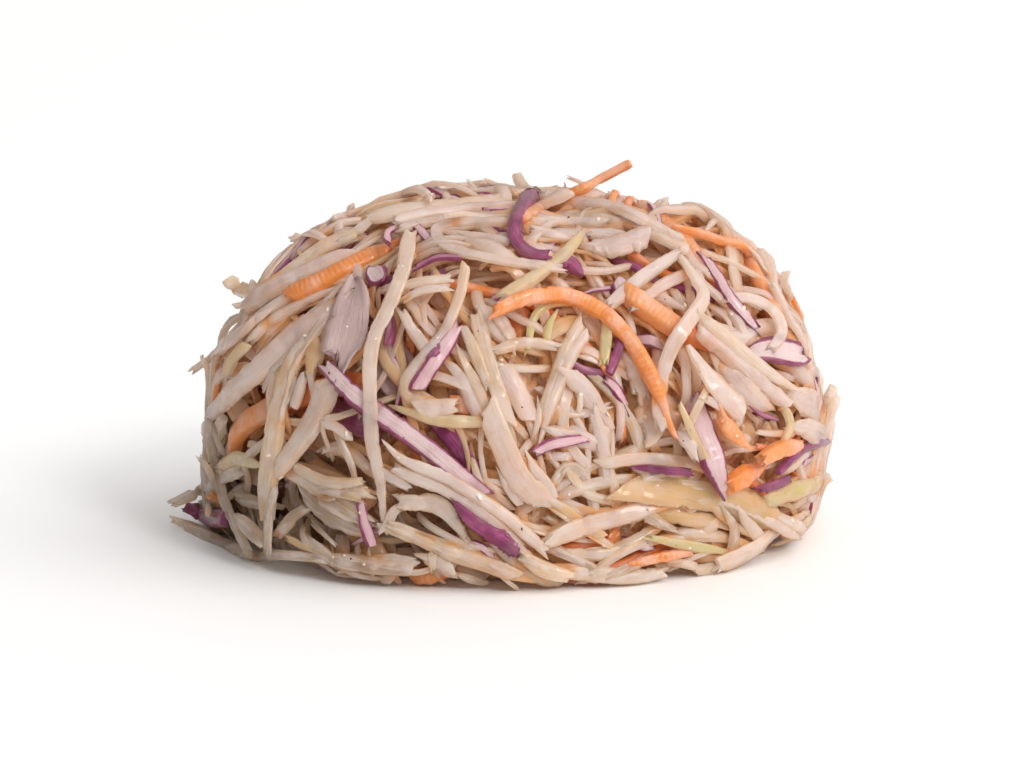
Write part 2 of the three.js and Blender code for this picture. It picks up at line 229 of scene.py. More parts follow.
# Shreds at the front from the lowest to the topmost.
FRONT_SHREDS = [
    # The foot of the heap.
    ("purple", 2.9, (-53.5, 3), (-50, 1.5), (-46.5, 1)),
    ("white", 2.0, (-54, 0), (-48.5, -2.5), (-42.5, -5)),
    ("pink", 1.5, (-56, 1), (-52, -0.5), (-48, -2)),
    ("pink", 1.4, (-42.5, -5.5), (-37.5, -5), (-32, -5.5), (-27, -6.5)),
    ("white", 2.4, (-29, -6), (-21.5, -7), (-14.5, -7.5)),
    ("ivory", 1.8, (-27, -7.5), (-20, -6), (-13.5, -6.5)),
    ("white", 2.2, (2, -6), (10, -8), (22, -8.5)),
    ("ivory", 1.8, (10, -7.5), (18, -8), (26, -8)),
    ("pink", 1.8, (14, -8.5), (22, -9), (29, -8)),
    ("white", 2.0, (11, -5), (18, -5), (23.5, -3), (28, 0)),
    ("yellow", (1.4, 0.9), (-36.5, -2), (-33.5, -3.5), (-28.5, -5)),
    ("carrot", (2.4, 1.1), (22.5, -7), (27, -6), (34, -4.5)),
    ("white", 2.2, (34, -8), (40, -7), (44, -5.5)),
    # Between the foot and the middle.
    ("white", 2.9, (-17, 4), (-10, 3.5), (-5, -2.5)),
    ("white", 3.4, (1, 27), (3.5, 23.5), (6, 18)),
    ("pink", 3.6, (36.5, 32.5), (41.5, 25), (46, 20)),
    ("white", 3.4, (21.5, 30), (24, 26.5), (25, 22)),
    ("white", 2.5, (-34, 6), (-28.5, 1), (-21, -2)),
    ("ivory", 2.2, (-45.5, 2), (-43, 0), (-40, -3.5)),
    ("ivory", 2.0, (-33, 3), (-35.5, 1), (-38, -2)),
    ("pink", (0.9, 0.7), (-32, 0.5), (-30, -1.5), (-28, -3.5)),
    ("grey", 3.0, (-37, 10), (-32.5, 7.5), (-28, 4.5)),
    ("white", 1.9, (-30, 6), (-26, 6), (-22, 5.5)),
    ("ivory", 2.0, (-30.5, 4.5), (-26, 2), (-22, 0)),
    ("ivory", 2.4, (-20, 0.5), (-14, -2), (-4.5, -5.5), (0, -8)),
    ("pink", 2.5, (-13, -6), (-10, -6.5), (-7, -8)),
    ("white", 1.9, (-11.5, -4.5), (-11, -7.5)),
    ("yellow", 2.5, (26.5, 2.5), (35, 1), (42.5, 1)),
    ("yellow", 5.2, (21.5, 6.5), (30, 6), (39, 4.5), (47.5, 1)),
    ("pink", (2.7, 3.7), (34, 5.5), (40, 5), (46, 2), (52.5, -1.5)),
    ("lime", 2.9, (46.5, 4), (50.5, 5.5), (56.5, 7.5)),
    ("olive", 2.2, (-47.5, 9.5), (-44.5, 11.5), (-40.5, 10)),
    # The left edge and the upper left.
    ("white", 2.0, (-56.5, 3.5), (-52, 5.5), (-47.5, 8), (-44, 9.5)),
    ("white", 3.6, (-20.5, 51), (-11.5, 53), (-1.5, 54), (5.5, 54.5)),
    ("ivory", 2.8, (-22, 53), (-15, 54.5), (-7, 55), (2, 56)),
    ("ivory", 2.4, (9, 52), (17, 53), (25, 51), (33, 47.5)),
    ("pink", 2.6, (7.5, 54.5), (16.5, 55.5), (24, 53.5), (31, 49.5)),
    ("white", 4.4, (16, 47.5), (21.5, 48.5), (26, 50)),
    ("grey", 2.4, (-46.5, 42.5), (-44, 40.5), (-40.5, 40.5), (-35, 44), (-29.5, 48), (-24.5, 50)),
    ("white", 1.8, (-27.5, 49), (-24, 51), (-20, 54)),
    ("pink", 2.8, (-43.5, 37.5), (-39.5, 40.5), (-33, 43.5), (-25, 47)),
    ("white", 3.5, (-44, 31.5), (-39.5, 36), (-33.5, 39.5), (-26.5, 43)),
    ("pink", (1.3, 3.2), (-52.5, 26.5), (-48.5, 29.5), (-43.5, 33.5), (-38.5, 37.5)),
    ("carrot", 2.9, (-36, 39.5), (-30.5, 42), (-24.5, 45), (-17, 48)),
    ("olive", 2.2, (-46.5, 26), (-45, 29), (-43, 31)),
    ("white", 1.5, (-24.5, 45), (-23.5, 41.5), (-22, 36.5)),
    ("ivory", 2.4, (-29, 33.5), (-31, 30), (-33, 25)),
    ("pink", 1.8, (-42, 27), (-36.5, 31), (-31, 34)),
    ("pink", (2.2, 5.2), (-50, 18.5), (-44.5, 24), (-37, 31), (-30, 35.5), (-25, 38.5)),
    ("yellow", 3.4, (-31.5, 33.5), (-31.5, 30), (-31.5, 26)),
    ("ivory", 3.2, (-34, 26.5), (-34.5, 23.5), (-35.5, 20.5)),
    ("white", 2.8, (-36, 10), (-30, 7), (-22, 6)),
    ("pink", (4.6, 2.4), (-28.5, 25.5), (-31, 19), (-34, 14), (-38, 9)),
    ("white", 3.0, (-39.5, 1), (-39.5, 7), (-38.5, 16), (-36, 26), (-33, 31.5)),
    ("white", 1.8, (-38, 6), (-39, 2.5), (-39.5, -5)),
    ("grey", 1.9, (-49.5, 18.5), (-48.5, 11.5), (-46.5, 3.5), (-42.5, -5)),
    ("white", 2.0, (-30, 12.5), (-27.5, 13.5), (-24.5, 12), (-21.5, 9)),
    ("pink", 1.7, (-30, 17.5), (-28, 17), (-25.5, 15)),
    # The top and the middle.
    ("mauve", 6.5, (-24.5, 42.5), (-25.5, 35), (-27.5, 27)),
    ("white", 2.9, (-17, 40), (-12.5, 41.5), (-8, 42)),
    ("lilac", 3.6, (-21.5, 44.5), (-20, 42)),
    ("red", 1.5, (-17.5, 51), (-19, 50), (-18, 48.5)),
    ("red", 1.5, (-14, 51.5), (-12.5, 50), (-10, 47.5)),
    ("pink", 1.7, (-9, 50.5), (-3, 49.5), (2, 48.5)),
    ("white", 3.7, (-6.5, 49), (-2, 48), (2, 45.5)),
    ("magenta", 1.4, (-14.5, 44), (-12.5, 45), (-10, 46), (-6.5, 46)),
    ("white", 1.7, (-16.5, 37), (-14.5, 33.5), (-12, 30)),
    ("magenta", 1.5, (-18.5, 35.5), (-18.5, 33.5), (-19, 31)),
    ("white", 3.9, (-9.5, 31), (-5.5, 25), (-2, 18)),
    ("red", 2.5, (-6.5, 34.5), (-9, 31), (-12.5, 26), (-14, 23.5)),
    ("purple", 1.7, (-10, 31), (-11.5, 29)),
    (
        "ivory", 1.8, (-5.5, 45), (-6.5, 40), (-9, 34), (-13, 29), (-16, 25), (-15.5, 22),
        (-11.5, 21), (-7.5, 20.5),
    ),
    ("white", 3.0, (-14, 20), (-11, 20), (-7, 20.5)),
    ("olive", 2.0, (-18.5, 20.5), (-14, 19), (-9, 18), (-2, 18)),
    ("red", 2.8, (-29.5, 27.5), (-24, 22), (-16.5, 16.5), (-9, 10.5), (-2.5, 5.5)),
    ("purple", (1.7, 3.0), (-7.5, 4), (-3.5, 0), (0, -2), (4, -5)),
    ("red", 1.7, (-23.5, 4), (-23, 1), (-21.5, -3.5)),
    (
        "white", 2.4, (-15, 50.5), (-16, 44.5), (-18.5, 38), (-21.5, 31.5), (-22, 23.5), (-21.5, 14),
        (-20, 6.5), (-19.5, 0.5),
    ),
    ("pink", 1.7, (-20.5, 9.5), (-18, 8), (-15.5, 6.5)),
    ("pink", (1.3, 2.0), (-15, 3.5), (-17.5, 2.5), (-19.5, -1.5)),
    ("white", 2.5, (-19, 0), (-11.5, -3.5), (-4, -6), (3.5, -8.5)),
    ("white", 3.2, (-20.5, 13.5), (-16.5, 10), (-8.5, 6.5), (0, 1), (5, -3.5), (8.5, -7)),
    ("white", 2.5, (4, -5), (8, -7.5), (13, -9)),
    ("white", 2.0, (-3.5, 37.5), (0, 36), (2, 33), (3.5, 30)),
    ("yellow", 2.5, (8, 31), (11, 34), (15, 36)),
    ("lime", 1.4, (5.5, 30), (6.5, 35.5), (9.5, 38), (14, 38.5)),
    ("lime", 1.4, (8.5, 30.5), (9, 34), (10.5, 37)),
    ("ivory", 2.5, (-3.5, 36.5), (-1.5, 28.5), (0.5, 22.5), (2.5, 17)),
    ("ivory", 1.8, (-5.5, 34), (-3.5, 29), (-1.5, 23.5)),
    ("white", 1.8, (-1, 30), (5, 31.5), (11, 30.5)),
    ("white", 1.8, (11, 31), (16, 30), (20, 27)),
    ("ivory", 3.2, (16.5, 36), (12.5, 30), (9.5, 22.5), (6.5, 14)),
    ("lime", 1.8, (19, 36.5), (19, 32), (18.5, 27.5)),
    ("purple", 1.5, (22, 34), (21, 30), (19.5, 26)),
    ("pink", 2.9, (12, 27), (16, 22), (20, 16.5)),
    ("red", 1.5, (18.5, 25.5), (20.5, 23.5), (22.5, 20)),
    ("white", 1.4, (12.5, 19), (16, 19.5), (19.5, 20.5)),
    ("white", 2.7, (8, 16.5), (12.5, 15.5), (17, 13.5)),
    ("red", 1.8, (6.5, 12.5), (9.5, 14), (15.5, 15)),
    ("white", 2.2, (16.5, 20), (18, 14.5), (19, 7.5)),
    ("white", 4.0, (-1.5, 20.5), (1, 14), (4, 8), (8.5, 3.5)),
    ("pink", 2.2, (5, 12), (7.5, 8), (10.5, 4.5)),
    ("pink", (0.9, 1.5), (0, 9.5), (2, 6), (4, 3.5)),
    ("white", 2.0, (17.5, 10.5), (25, 11.5), (33.5, 10.5), (40, 8.5)),
    ("ivory", 1.7, (9.5, 6.5), (12, 10), (15, 8.5), (16.5, 4), (17, -1)),
    ("white", 1.8, (20, 10), (20.5, 4.5), (21, 1)),
    ("yellow", 2.0, (10.5, 3.5), (14, 0.5), (18, -2)),
    ("pink", (3.0, 2.5), (8, -3), (14.5, -0.5), (21, 1.5), (28, 3.5)),
    ("ivory", (2.5, 0.9), (25.5, 2), (28, 0.5), (31.5, -1)),
    ("lime", (1.3, 1.7, 0.7), (26, -2), (32.5, -3.5), (41, -5)),
    ("ivory", 1.7, (38.5, 3.5), (41, -0.5), (40.5, -5), (38, -8)),
    ("pink", 2.2, (41.5, 3), (43.5, 0), (46, -3)),
    # The right.
    ("red", 4.4, (33.5, 21), (36.5, 13), (39.5, 5)),
    ("bulge", 4.6, (25, 23.5), (26.5, 19.5), (25.5, 15)),
    ("white", 2.5, (31, 17), (34.5, 12)),
    ("carrot", 2.9, (39.5, 6.5), (42.5, 8.5), (46, 10)),
    ("carrot", 2.5, (45.5, 11), (49, 13), (52, 13.5)),
    ("carrot", 2.5, (38, 19.5), (41, 15.5), (43.5, 13)),
    ("white", 1.8, (35.5, 22), (38.5, 20.5), (42, 18)),
    ("ivory", (0.9, 1.5), (37.5, 26), (35, 21), (33, 16.5)),
    ("white", 2.5, (23.5, 41.5), (28.5, 39), (32, 37.5)),
    ("lilac", 3.2, (20.5, 42.5), (22, 38.5)),
    ("carrot", 3.0, (22, 40), (26.5, 37), (31.5, 33.5), (37, 31)),
    ("white", 3.2, (33, 31), (37, 25), (42.5, 19.5)),
    ("bulge", 5.0, (50, 23), (53.5, 21), (56, 19)),
    ("bulge", 3.6, (50, 17), (53.5, 16.5), (56.5, 14.5)),
    ("olive", 1.3, (49.5, 20.5), (50.5, 17), (48.5, 13)),
    ("lilac", 4.0, (42.5, 29.5), (47, 30), (53, 29)),
    ("white", 2.0, (39, 39), (43.5, 39), (47.5, 37), (49, 33.5), (47, 30)),
    ("pink", 4.2, (33.5, 35.5), (39, 31), (44.5, 26.5), (51, 21.5)),
    ("magenta", (0.6, 0.9, 0.5), (43.5, 20.5), (45.5, 19), (48.5, 18)),
    ("purple", 1.4, (57, 14.5), (53.5, 13.5), (51, 11.5), (48.5, 9)),
    ("purple", 1.5, (45, 6), (48, 7), (50.5, 8)),
    ("purple", 1.5, (23, 10), (28, 9.5), (33.5, 9)),
    ("red", 1.8, (35.5, 46.5), (38, 42.5), (40.5, 38.5), (45, 33.5)),
    ("white", 2.0, (31.5, 47), (25.5, 43), (19, 37.5)),
    ("white", 1.7, (34.5, 44), (28, 41), (23, 37)),
    ("white", 2.3, (31.5, 46.5), (34.5, 42), (35.5, 39), (32, 34), (29.5, 29), (28, 21.5), (28.5, 16.5)),
    ("olive", (1.1, 1.8), (31.5, 21), (34, 15.5), (37, 9.5)),
    ("white", 2.5, (16, 50.5), (21, 50), (25, 48)),
    ("red", 1.4, (20.5, 52.5), (23, 52), (24.5, 50.5), (24.5, 49)),
    ("purple", 2.7, (10.5, 45), (12.5, 45), (14.5, 43)),
    ("white", 1.8, (5.5, 51), (9, 50), (14, 49)),
    ("olive", (1.3, 2.9), (15, 50.5), (11.5, 46.5), (6.5, 43), (0.5, 39.5)),
    ("white", 1.9, (19.5, 52), (6.5, 52), (-6.5, 52), (-10.5, 50.5), (-7.5, 47.5), (1.5, 45.5), (11.5, 44)),
    (
        "carrot", 2.2, (-1, 36.5), (5, 39), (12, 39.5), (18.5, 36.5), (23.5, 31), (27, 24.5),
        (29.5, 18), (31, 15),
    ),
    ("carrot", (2.4, 1.4), (2, 51.5), (7, 54.5), (14.5, 58), (23, 62.5)),
    ("purple", (2.7, 1.9), (6, 57), (4, 54), (3, 50.5), (4, 48), (6.5, 46.5), (9, 46.5)),
]


# ---- Vectors, in rows of three ----
def dot(a, b):
    return np.sum(np.asarray(a) * np.asarray(b), axis=-1, keepdims=True)


def unit(a):
    return a / np.maximum(np.linalg.norm(a, axis=-1, keepdims=True), 1e-9)


def mound_field(p):
    """0 on the mound and below 0 inside it."""
    up = np.abs(p[..., 2]) / MOUND_HEIGHT
    right = (p[..., 0] - MOUND_X - MOUND_LEAN * up * up) / (MOUND_WIDTH / 2)
    back = p[..., 1] / (MOUND_DEPTH / 2)
    out = np.hypot(right, back)
    turn = np.arctan2(back, right)
    lumps = np.sin(3 * turn + 1 + 2 * up) + 0.8 * np.sin(5 * turn - 3 * up)
    return (out**SHOULDER + up**SHOULDER) ** (1 / SHOULDER) / (1 + LUMP * lumps) - 1


def off_mound(p):
    """Each place's distance outside the mound, and the way straight out of the mound there."""
    reach = 0.1
    here = mound_field(p)
    slope = np.stack([(mound_field(p + reach * axis) - here) / reach for axis in np.eye(3)], axis=-1)
    steepness = np.linalg.norm(slope, axis=-1)
    return here / steepness, slope / steepness[..., None]


def onto_mound(p):
    for _ in range(3):
        distance, outward = off_mound(p)
        p = p - outward * distance[..., None]
    return p


# ---- Lines of sight from the viewer of the front ----
SIGHT = np.array([0, math.cos(VIEW_ELEVATION), -math.sin(VIEW_ELEVATION)])
SIGHT_UP = np.array([0, math.sin(VIEW_ELEVATION), math.cos(VIEW_ELEVATION)])


def on_view(across, up):
    return np.multiply.outer(np.asarray(across), np.array([1.0, 0, 0])) + np.multiply.outer(
        np.asarray(up), SIGHT_UP
    )


EYE = on_view(*VIEW_AIM) - VIEW_DISTANCE * SIGHT


def sighted(seen, heights, lowest):
    """The first place on each line of sight that is so high off the mound, or that passes it closest."""
    towards = unit(on_view(seen[:, 0], seen[:, 1]) - EYE)
    reach = np.arange(VIEW_DISTANCE - SIGHT_REACH, VIEW_DISTANCE + SIGHT_REACH, SIGHT_STEP)
    spots = EYE + towards[:, None, :] * reach[None, :, None]
    distance, _ = off_mound(spots)
    order = np.arange(len(reach))
    sunk = spots[..., 2] < lowest
    last = np.where(sunk.any(1), sunk.argmax(1), len(reach))
    usable = order[None, :] < last[:, None]
    met = (distance <= heights[:, None]) & usable
    nearest = np.where(usable, distance, 1e9).argmin(1)
    pick = np.where(met.any(1), met.argmax(1), nearest)
    return spots[np.arange(len(seen)), pick]


# ---- Curves ----
def smooth_curve(points, parts=24):
    """A dense Catmull-Rom curve through the points."""
    points = np.asarray(points, float)
    before = 2 * points[0] - points[1]
    after = 2 * points[-1] - points[-2]
    p = np.vstack([before, points, after])
    t = np.linspace(0, 1, parts, endpoint=False)[:, None]
    rows = []
    for a, b, c, d in zip(p, p[1:], p[2:], p[3:]):
        rows.append(
            b
            + 0.5 * (c - a) * t
            + (a - 2.5 * b + 2 * c - 0.5 * d) * t**2
            + (1.5 * (b - c) + 0.5 * (d - a)) * t**3
        )
    rows.append(points[-1:])
    return np.vstack(rows)


def distances(points):
    """How far along a curve each of its points lies."""
    gaps = np.linalg.norm(np.diff(points, axis=0), axis=1)
    return np.concatenate([[0], np.cumsum(gaps)])


def on_curve(points, wanted):
    """The places at the wanted distances along a curve."""
    at = distances(points)
    return np.stack([np.interp(wanted, at, column) for column in points.T], axis=1)


def spaced(points, count):
    """count + 1 evenly spaced places along a dense curve."""
    return on_curve(points, np.linspace(0, distances(points)[-1], count + 1))


def length_of(points):
    return float(np.linalg.norm(np.diff(points, axis=0), axis=1).sum())


def directions(points):
    ahead = np.empty_like(points)
    ahead[1:-1] = points[2:] - points[:-2]
    ahead[0] = points[1] - points[0]
    ahead[-1] = points[-1] - points[-2]
    return unit(ahead)


# ---- Laying shreds: the heap grows by each one's thickness where it lies ----
class Heap:
    """How high the shreds lie above each cell of the mound, and how low the lowest of them starts."""

    def __init__(self, start, hollow=None):
        self.start = start
        self.hollow = hollow
        self.top = {}
        self.low = {}

    def floor_at(self, key):
        return self.start - self.hollow(key) if self.hollow else self.start

    def cells_under(self, feet, across, width):
        steps = max(1, math.ceil(width / CELL))
        shares = np.arange(steps + 1) / steps - 0.5
        spots = onto_mound(feet[:, None, :] + across[:, None, :] * (width * shares)[None, :, None])
        keys = np.floor(spots / CELL + 0.5).astype(int)
        return [[tuple(key) for key in row] for row in keys.tolist()]

    def support(self, cells):
        top = self.top
        reached = [[top[key] if key in top else self.floor_at(key) for key in under] for under in cells]
        return np.array([max(row) for row in reached]) - SINK

    def settle(self, cells, sag=SAG):
        support = self.support(cells)
        heights = support.copy()
        for _ in range(SETTLING_ROUNDS):
            before = np.concatenate([heights[:1], heights[:-1]])
            after = np.concatenate([heights[1:], heights[-1:]])
            heights = np.maximum(support, (before + after) / 2 - sag)
        return heights

    def raise_by(self, cells, heights, thickness):
        for under, height in zip(cells, heights):
            for key in under:
                self.top[key] = max(self.top.get(key, self.start), height + thickness)
                self.low[key] = min(self.low.get(key, height), height)

    def blurred(self, spots):
        """How high the tops lie around each place of a grid that goes all round, with the steps smoothed."""
        keys = np.floor(spots / CELL + 0.5).astype(int)
        found = np.empty(keys.shape[:2])
        for i, row in enumerate(keys.tolist()):
            for j, (x, y, z) in enumerate(row):
                near = [self.top.get((x + dx, y + dy, z + dz)) for dx, dy, dz in BESIDE]
                near = [top for top in near if top is not None]
                found[i, j] = sum(near) / len(near) if near else self.floor_at((x, y, z))
        for _ in range(2):
            beside = (np.roll(found, 1, axis=1) + np.roll(found, -1, axis=1)) / 2
            padded = np.vstack([found[:1], found, found[-1:]])
            above = (padded[:-2] + padded[2:]) / 2
            found = 0.4 * found + 0.3 * beside + 0.3 * above
        return found

    def roofs(self):
        """The highest top in and beside each block of cells."""
        tops, spread = {}, {}
        for key, top in self.top.items():
            block = tuple(k // ROOF_BLOCK for k in key)
            tops[block] = max(tops.get(block, 0), top)
        for (x, y, z), top in tops.items():
            for dx, dy, dz in BESIDE:
                block = (x + dx, y + dy, z + dz)
                spread[block] = max(spread.get(block, 0), top)
        return spread


def longest_run(usable):
    """Where the longest unbroken run of usable places starts and stops."""
    edges = np.flatnonzero(np.diff(np.concatenate([[0], usable.astype(int), [0]])))
    if not len(edges):
        return 0, 0
    best = (edges[1::2] - edges[::2]).argmax()
    return edges[2 * best], edges[2 * best + 1]


def footing(places):
    _, outward = off_mound(places)
    return onto_mound(places), outward, unit(np.cross(outward, directions(places)))


def family_of(kind):
    return KINDS[kind][0]


def thickness_of(kind, width):
    if kind in BROAD:
        return LEAF_THICKNESS
    if kind == "purple":
        return SKIN_SHARE * width
    return THICKNESS_SHARE[family_of(kind)] * min(width, STURDY) + STURDY_SHARE * max(0, width - STURDY)


def shred(kind, widths, thickness, places, facing, rank):
    parts = {"kind": kind, "widths": widths, "thickness": thickness}
    return parts | {"places": places, "facing": facing, "rank": rank}


def lay_front_shred(heap, press, kind, widths, *route):
    widths = widths if isinstance(widths, tuple) else (widths, widths)
    width = max(widths)
    thickness = thickness_of(kind, width)
    half = thickness / 2
    lowest = half + FLOOR_GAP
    curve = smooth_curve(route)
    seen = spaced(curve, max(3, round(length_of(curve) / STEP)))
    first = sighted(seen, np.full(len(seen), half), lowest)
    feet, _, across = footing(first)
    cells = heap.cells_under(feet, across, width)
    heights = heap.settle(cells)
    heap.raise_by(cells, heights, press * thickness)
    places = sighted(seen, heights + half, lowest)
    return shred(kind, widths, thickness, places, FACING, "front")


def walk_over_mound(middles, headings, lengths, bends, lowest, sense):
    """Every route's places on one side of its middle, as one array a step, and how many of them count."""
    place = middles
    _, outward = off_mound(place)
    east = unit(np.cross([0, 0, 1], outward))
    north = np.cross(outward, east)
    ahead = sense * (east * np.cos(headings)[:, None] + north * np.sin(headings)[:, None])
    steps = np.maximum(1, np.floor(lengths / 2 / STEP + 0.5)).astype(int)
    turn = np.radians(bends) / (2 * steps)
    rows = []
    count = np.zeros(len(middles), int)
    walking = np.ones(len(middles), bool)
    for i in range(steps.max()):
        ahead = unit(ahead + np.cross(outward, ahead) * (sense * turn)[:, None])
        place = onto_mound(place + ahead * STEP)
        _, outward = off_mound(place)
        ahead = unit(ahead - outward * dot(ahead, outward))
        walking &= (place[:, 2] >= lowest) & (i < steps)
        count += walking
        rows.append(place)
    return np.stack(rows, axis=1), count


def routes_over_mound(middles, headings, lengths, bends, lowest=LOOSE_LOWEST):
    back, back_count = walk_over_mound(middles, headings, lengths, bends, lowest, -1)
    fore, fore_count = walk_over_mound(middles, headings, lengths, bends, lowest, 1)
    return [
        np.vstack([back[i, : back_count[i]][::-1], middles[i : i + 1], fore[i, : fore_count[i]]])
        for i in range(len(middles))
    ]


def places_over(feet, outward, heights, thickness, width):
    """The middle line of a shred that lies so high over its feet, clear of the floor."""
    places = feet + outward * (heights + thickness / 2)[:, None]
    places[:, 2] = np.maximum(places[:, 2], width / 2 + FLOOR_GAP)
    return places


def lay_around(heap, kind, width, route, end_lift):
    thickness = thickness_of(kind, width)
    feet, outward, across = footing(route)
    cells = heap.cells_under(feet, across, width)
    heights = heap.settle(cells)
    heap.raise_by(cells, heights, thickness)
    lift = end_lift * np.maximum(0, np.linspace(-1, 1, len(feet))) ** 4
    places = places_over(feet, outward, heights + lift, thickness, width)
    return shred(kind, (width, width), thickness, places, 0, "around")


def lay_loose(heap, kind, width, route, ceiling, press, rank, end_lift=0, shortest=FILL_SHORTEST):
    """A limp shred on the heap, cut to the longest part that stays under the ceiling."""
    thickness = thickness_of(kind, width)
    feet, outward, across = footing(route)
    cells = heap.cells_under(feet, across, width)
    heights = heap.settle(cells, LOOSE_SAG)
    start, stop = longest_run(heights + thickness <= ceiling(cells))
    if stop - start < shortest:
        return None
    cells, heights = cells[start:stop], heights[start:stop]
    heap.raise_by(cells, heights, press * thickness)
    steps = np.arange(len(heights))
    to_end = STEP * np.minimum(steps, steps[::-1])
    lift = -TUCK * np.maximum(0, 1 - to_end / TUCK_REACH) ** 2
    lift = lift + end_lift * np.linspace(0, 1, len(heights)) ** 4
    places = places_over(feet[start:stop], outward[start:stop], heights + lift, thickness, width)
    return shred(kind, (width, width), thickness, places, 0, rank)


def random_run(seed):
    state = seed
    while True:
        state = (state * 1664525 + 1013904223) & 0xFFFFFFFF
        yield state / 2**32


def kind_for(share, shares):
    return next(kind for kind, up_to in shares if share <= up_to)


def forked(item, rng):
    """A wide front shred as two that part towards their ends."""
    width = max(item["widths"])
    if width < FORK_WIDTH or item["kind"] not in PALE_KINDS or rng.uniform() > FORK_SHARE:
        return [item]
    places = item["places"]
    _, outward = off_mound(places)
    across = unit(np.cross(unit(outward - FACING * SIGHT), directions(places)))
    n = len(places)
    run = np.linspace(-1, 1, n)
    opening = rng.uniform(*FORK_OPENING) * rng.choice([-1, 1])
    stagger = max(1, n // FORK_STAGGER)
    laid = []
    for side in (-1, 1):
        opened = np.maximum(0, run * opening) ** 2
        drift = side * (FORK_APART * width + opened + FORK_STRAY * rng.normal())
        start = rng.integers(0, stagger)
        stop = n - rng.integers(0, stagger)
        kind = item["kind"] if side < 0 else PALE_KINDS[rng.integers(0, 4)]
        share = rng.uniform(*FORK_WIDTHS)
        widths = tuple(share * each * rng.uniform(*FORK_VARIETY) for each in item["widths"])
        moved = places + across * drift[:, None] + outward * side * rng.uniform(0, FORK_STRAY)
        thickness = item["thickness"] * rng.uniform(*FORK_THICKNESS)
        laid.append(shred(kind, widths, thickness, moved[start:stop], FACING, "front"))
    return laid


def split_shred(item, rng):
    """A wide shred as two or three narrow ones, side by side along nearly the same way."""
    width = item["widths"][0]
    dark = item["kind"] in ("red", "purple")
    if rng.uniform() > SPLIT_ODDS and not dark:
        return [item]
    count = 2 if width < SPLIT_IN_THREE else 3
    places = item["places"]
    _, outward = off_mound(places)
    across = unit(np.cross(outward, directions(places)))
    n = len(places)
    run = np.linspace(-1, 1, n)
    laid = []
    for i in range(count):
        offset = ((i + 0.5) / count - 0.5) * width
        crossing = rng.uniform(-1, 1), rng.uniform(-SPLIT_CROSSING, SPLIT_CROSSING)
        drift = offset * (1 + SPLIT_SKEW * crossing[0] * run) + crossing[1] * run
        height = rng.uniform(-SPLIT_LIFT, SPLIT_LIFT) * item["thickness"]
        moved = places + across * drift[:, None] + outward * height
        kept = max(5, round(n * rng.uniform(*SPLIT_SHARE)))
        start = rng.integers(0, max(1, n - kept + 1))
        kind = item["kind"]
        if i > 0 and (dark or rng.uniform() < 0.5) or kind == "white":
            kind = PALE_KINDS[rng.integers(0, 4)]
        narrow = width / count * rng.uniform(*SPLIT_WIDTHS)
        thickness = min(item["thickness"], SPLIT_THICKEST * narrow)
        widths = (narrow * rng.uniform(*SLIMMER), narrow * rng.uniform(*SLIMMER))
        laid.append(shred(kind, widths, thickness, moved[start : start + kept], 0, "around"))
    return laid


def lay_shreds_around(heap):
    run = random_run(AROUND_SEED)

    def between(low, high):
        return low + (high - low) * next(run)

    drawn = []
    for i in range(AROUND_COUNT):
        rise = (i + 0.5) / AROUND_COUNT
        turn = i * GOLDEN_ANGLE
        flat = math.sqrt(1 - rise * rise)
        way = np.array([flat * math.cos(turn), flat * math.sin(turn), rise])
        middle = onto_mound(np.array([MOUND_X, 0, AROUND_LOWEST + 2]) + way * MOUND_WIDTH / 2)
        kind = kind_for(next(run), AROUND_SHARES)
        width = between(*AROUND_WIDTH)
        long = between(*AROUND_LENGTH)
        heading = between(0, math.pi)
        bend = between(-AROUND_BEND, AROUND_BEND)
        lift = AROUND_LIFT * next(run) ** 2
        _, outward = off_mound(middle)
        if -(outward @ SIGHT) < FRONT_FACING:
            drawn.append((long, kind, width, middle, heading, bend, lift))
    drawn.sort(key=lambda row: -row[0])
    lengths, kinds, widths, middles, headings, bends, lifts = zip(*drawn)
    walks = (np.array(column) for column in (middles, headings, lengths, bends))
    laid = zip(kinds, widths, routes_over_mound(*walks, AROUND_LOWEST), lifts)
    return [lay_around(heap, *row) for row in laid if len(row[2]) > 3]


def mound_spots(rng, count):
    """Random places all over the mound, each with its way out, east and uphill."""
    rise = rng.uniform(0.0, 1.0, count)
    turn = rng.uniform(0, 2 * math.pi, count)
    flat = np.sqrt(1 - rise**2)
    way = np.stack([flat * np.cos(turn), flat * np.sin(turn), rise], axis=1)
    middles = onto_mound(np.array([MOUND_X, 0, SPOTS_FROM]) + way * MOUND_WIDTH / 2)
    _, outward = off_mound(middles)
    east = unit(np.cross([0, 0, 1], outward))
    return middles, outward, east, np.cross(outward, east)


def lay_outer(heap):
    """Narrower shreds over the sides, the back and the top; some curl and some stand off at one end."""
    rng = np.random.default_rng(OUTER_SEED)
    laid = []
    for count, span, breadth, shortest in OUTER_ROUNDS:
        middles, outward, _, _ = mound_spots(rng, count)
        headings = math.pi / 2 + rng.normal(0, OUTER_SPREAD, count)
        lengths = rng.uniform(*span, count)
        curl = np.where(rng.uniform(0, 1, count) < CURL_SHARE, CURL, 0)
        bends = rng.uniform(-OUTER_BEND, OUTER_BEND, count) + curl * rng.choice([-1, 1], count)
        for i, route in enumerate(routes_over_mound(middles, headings, lengths, bends)):
            kind = kind_for(rng.uniform(), OUTER_SHARES)
            width = rng.uniform(*breadth)
            lift = END_LIFT * rng.uniform() ** 5
            if len(route) < 6 or -(outward[i] @ SIGHT) > OUTER_FACING:
                continue
            made = lay_loose(
                heap, kind, width, route, lambda _: OUTER_TOP, LOWER_PRESS, "around", lift, shortest
            )
            if made:
                made["widths"] = (width * rng.uniform(0.5, 1), width * rng.uniform(0.8, 1))
                laid.append(made)
    return laid


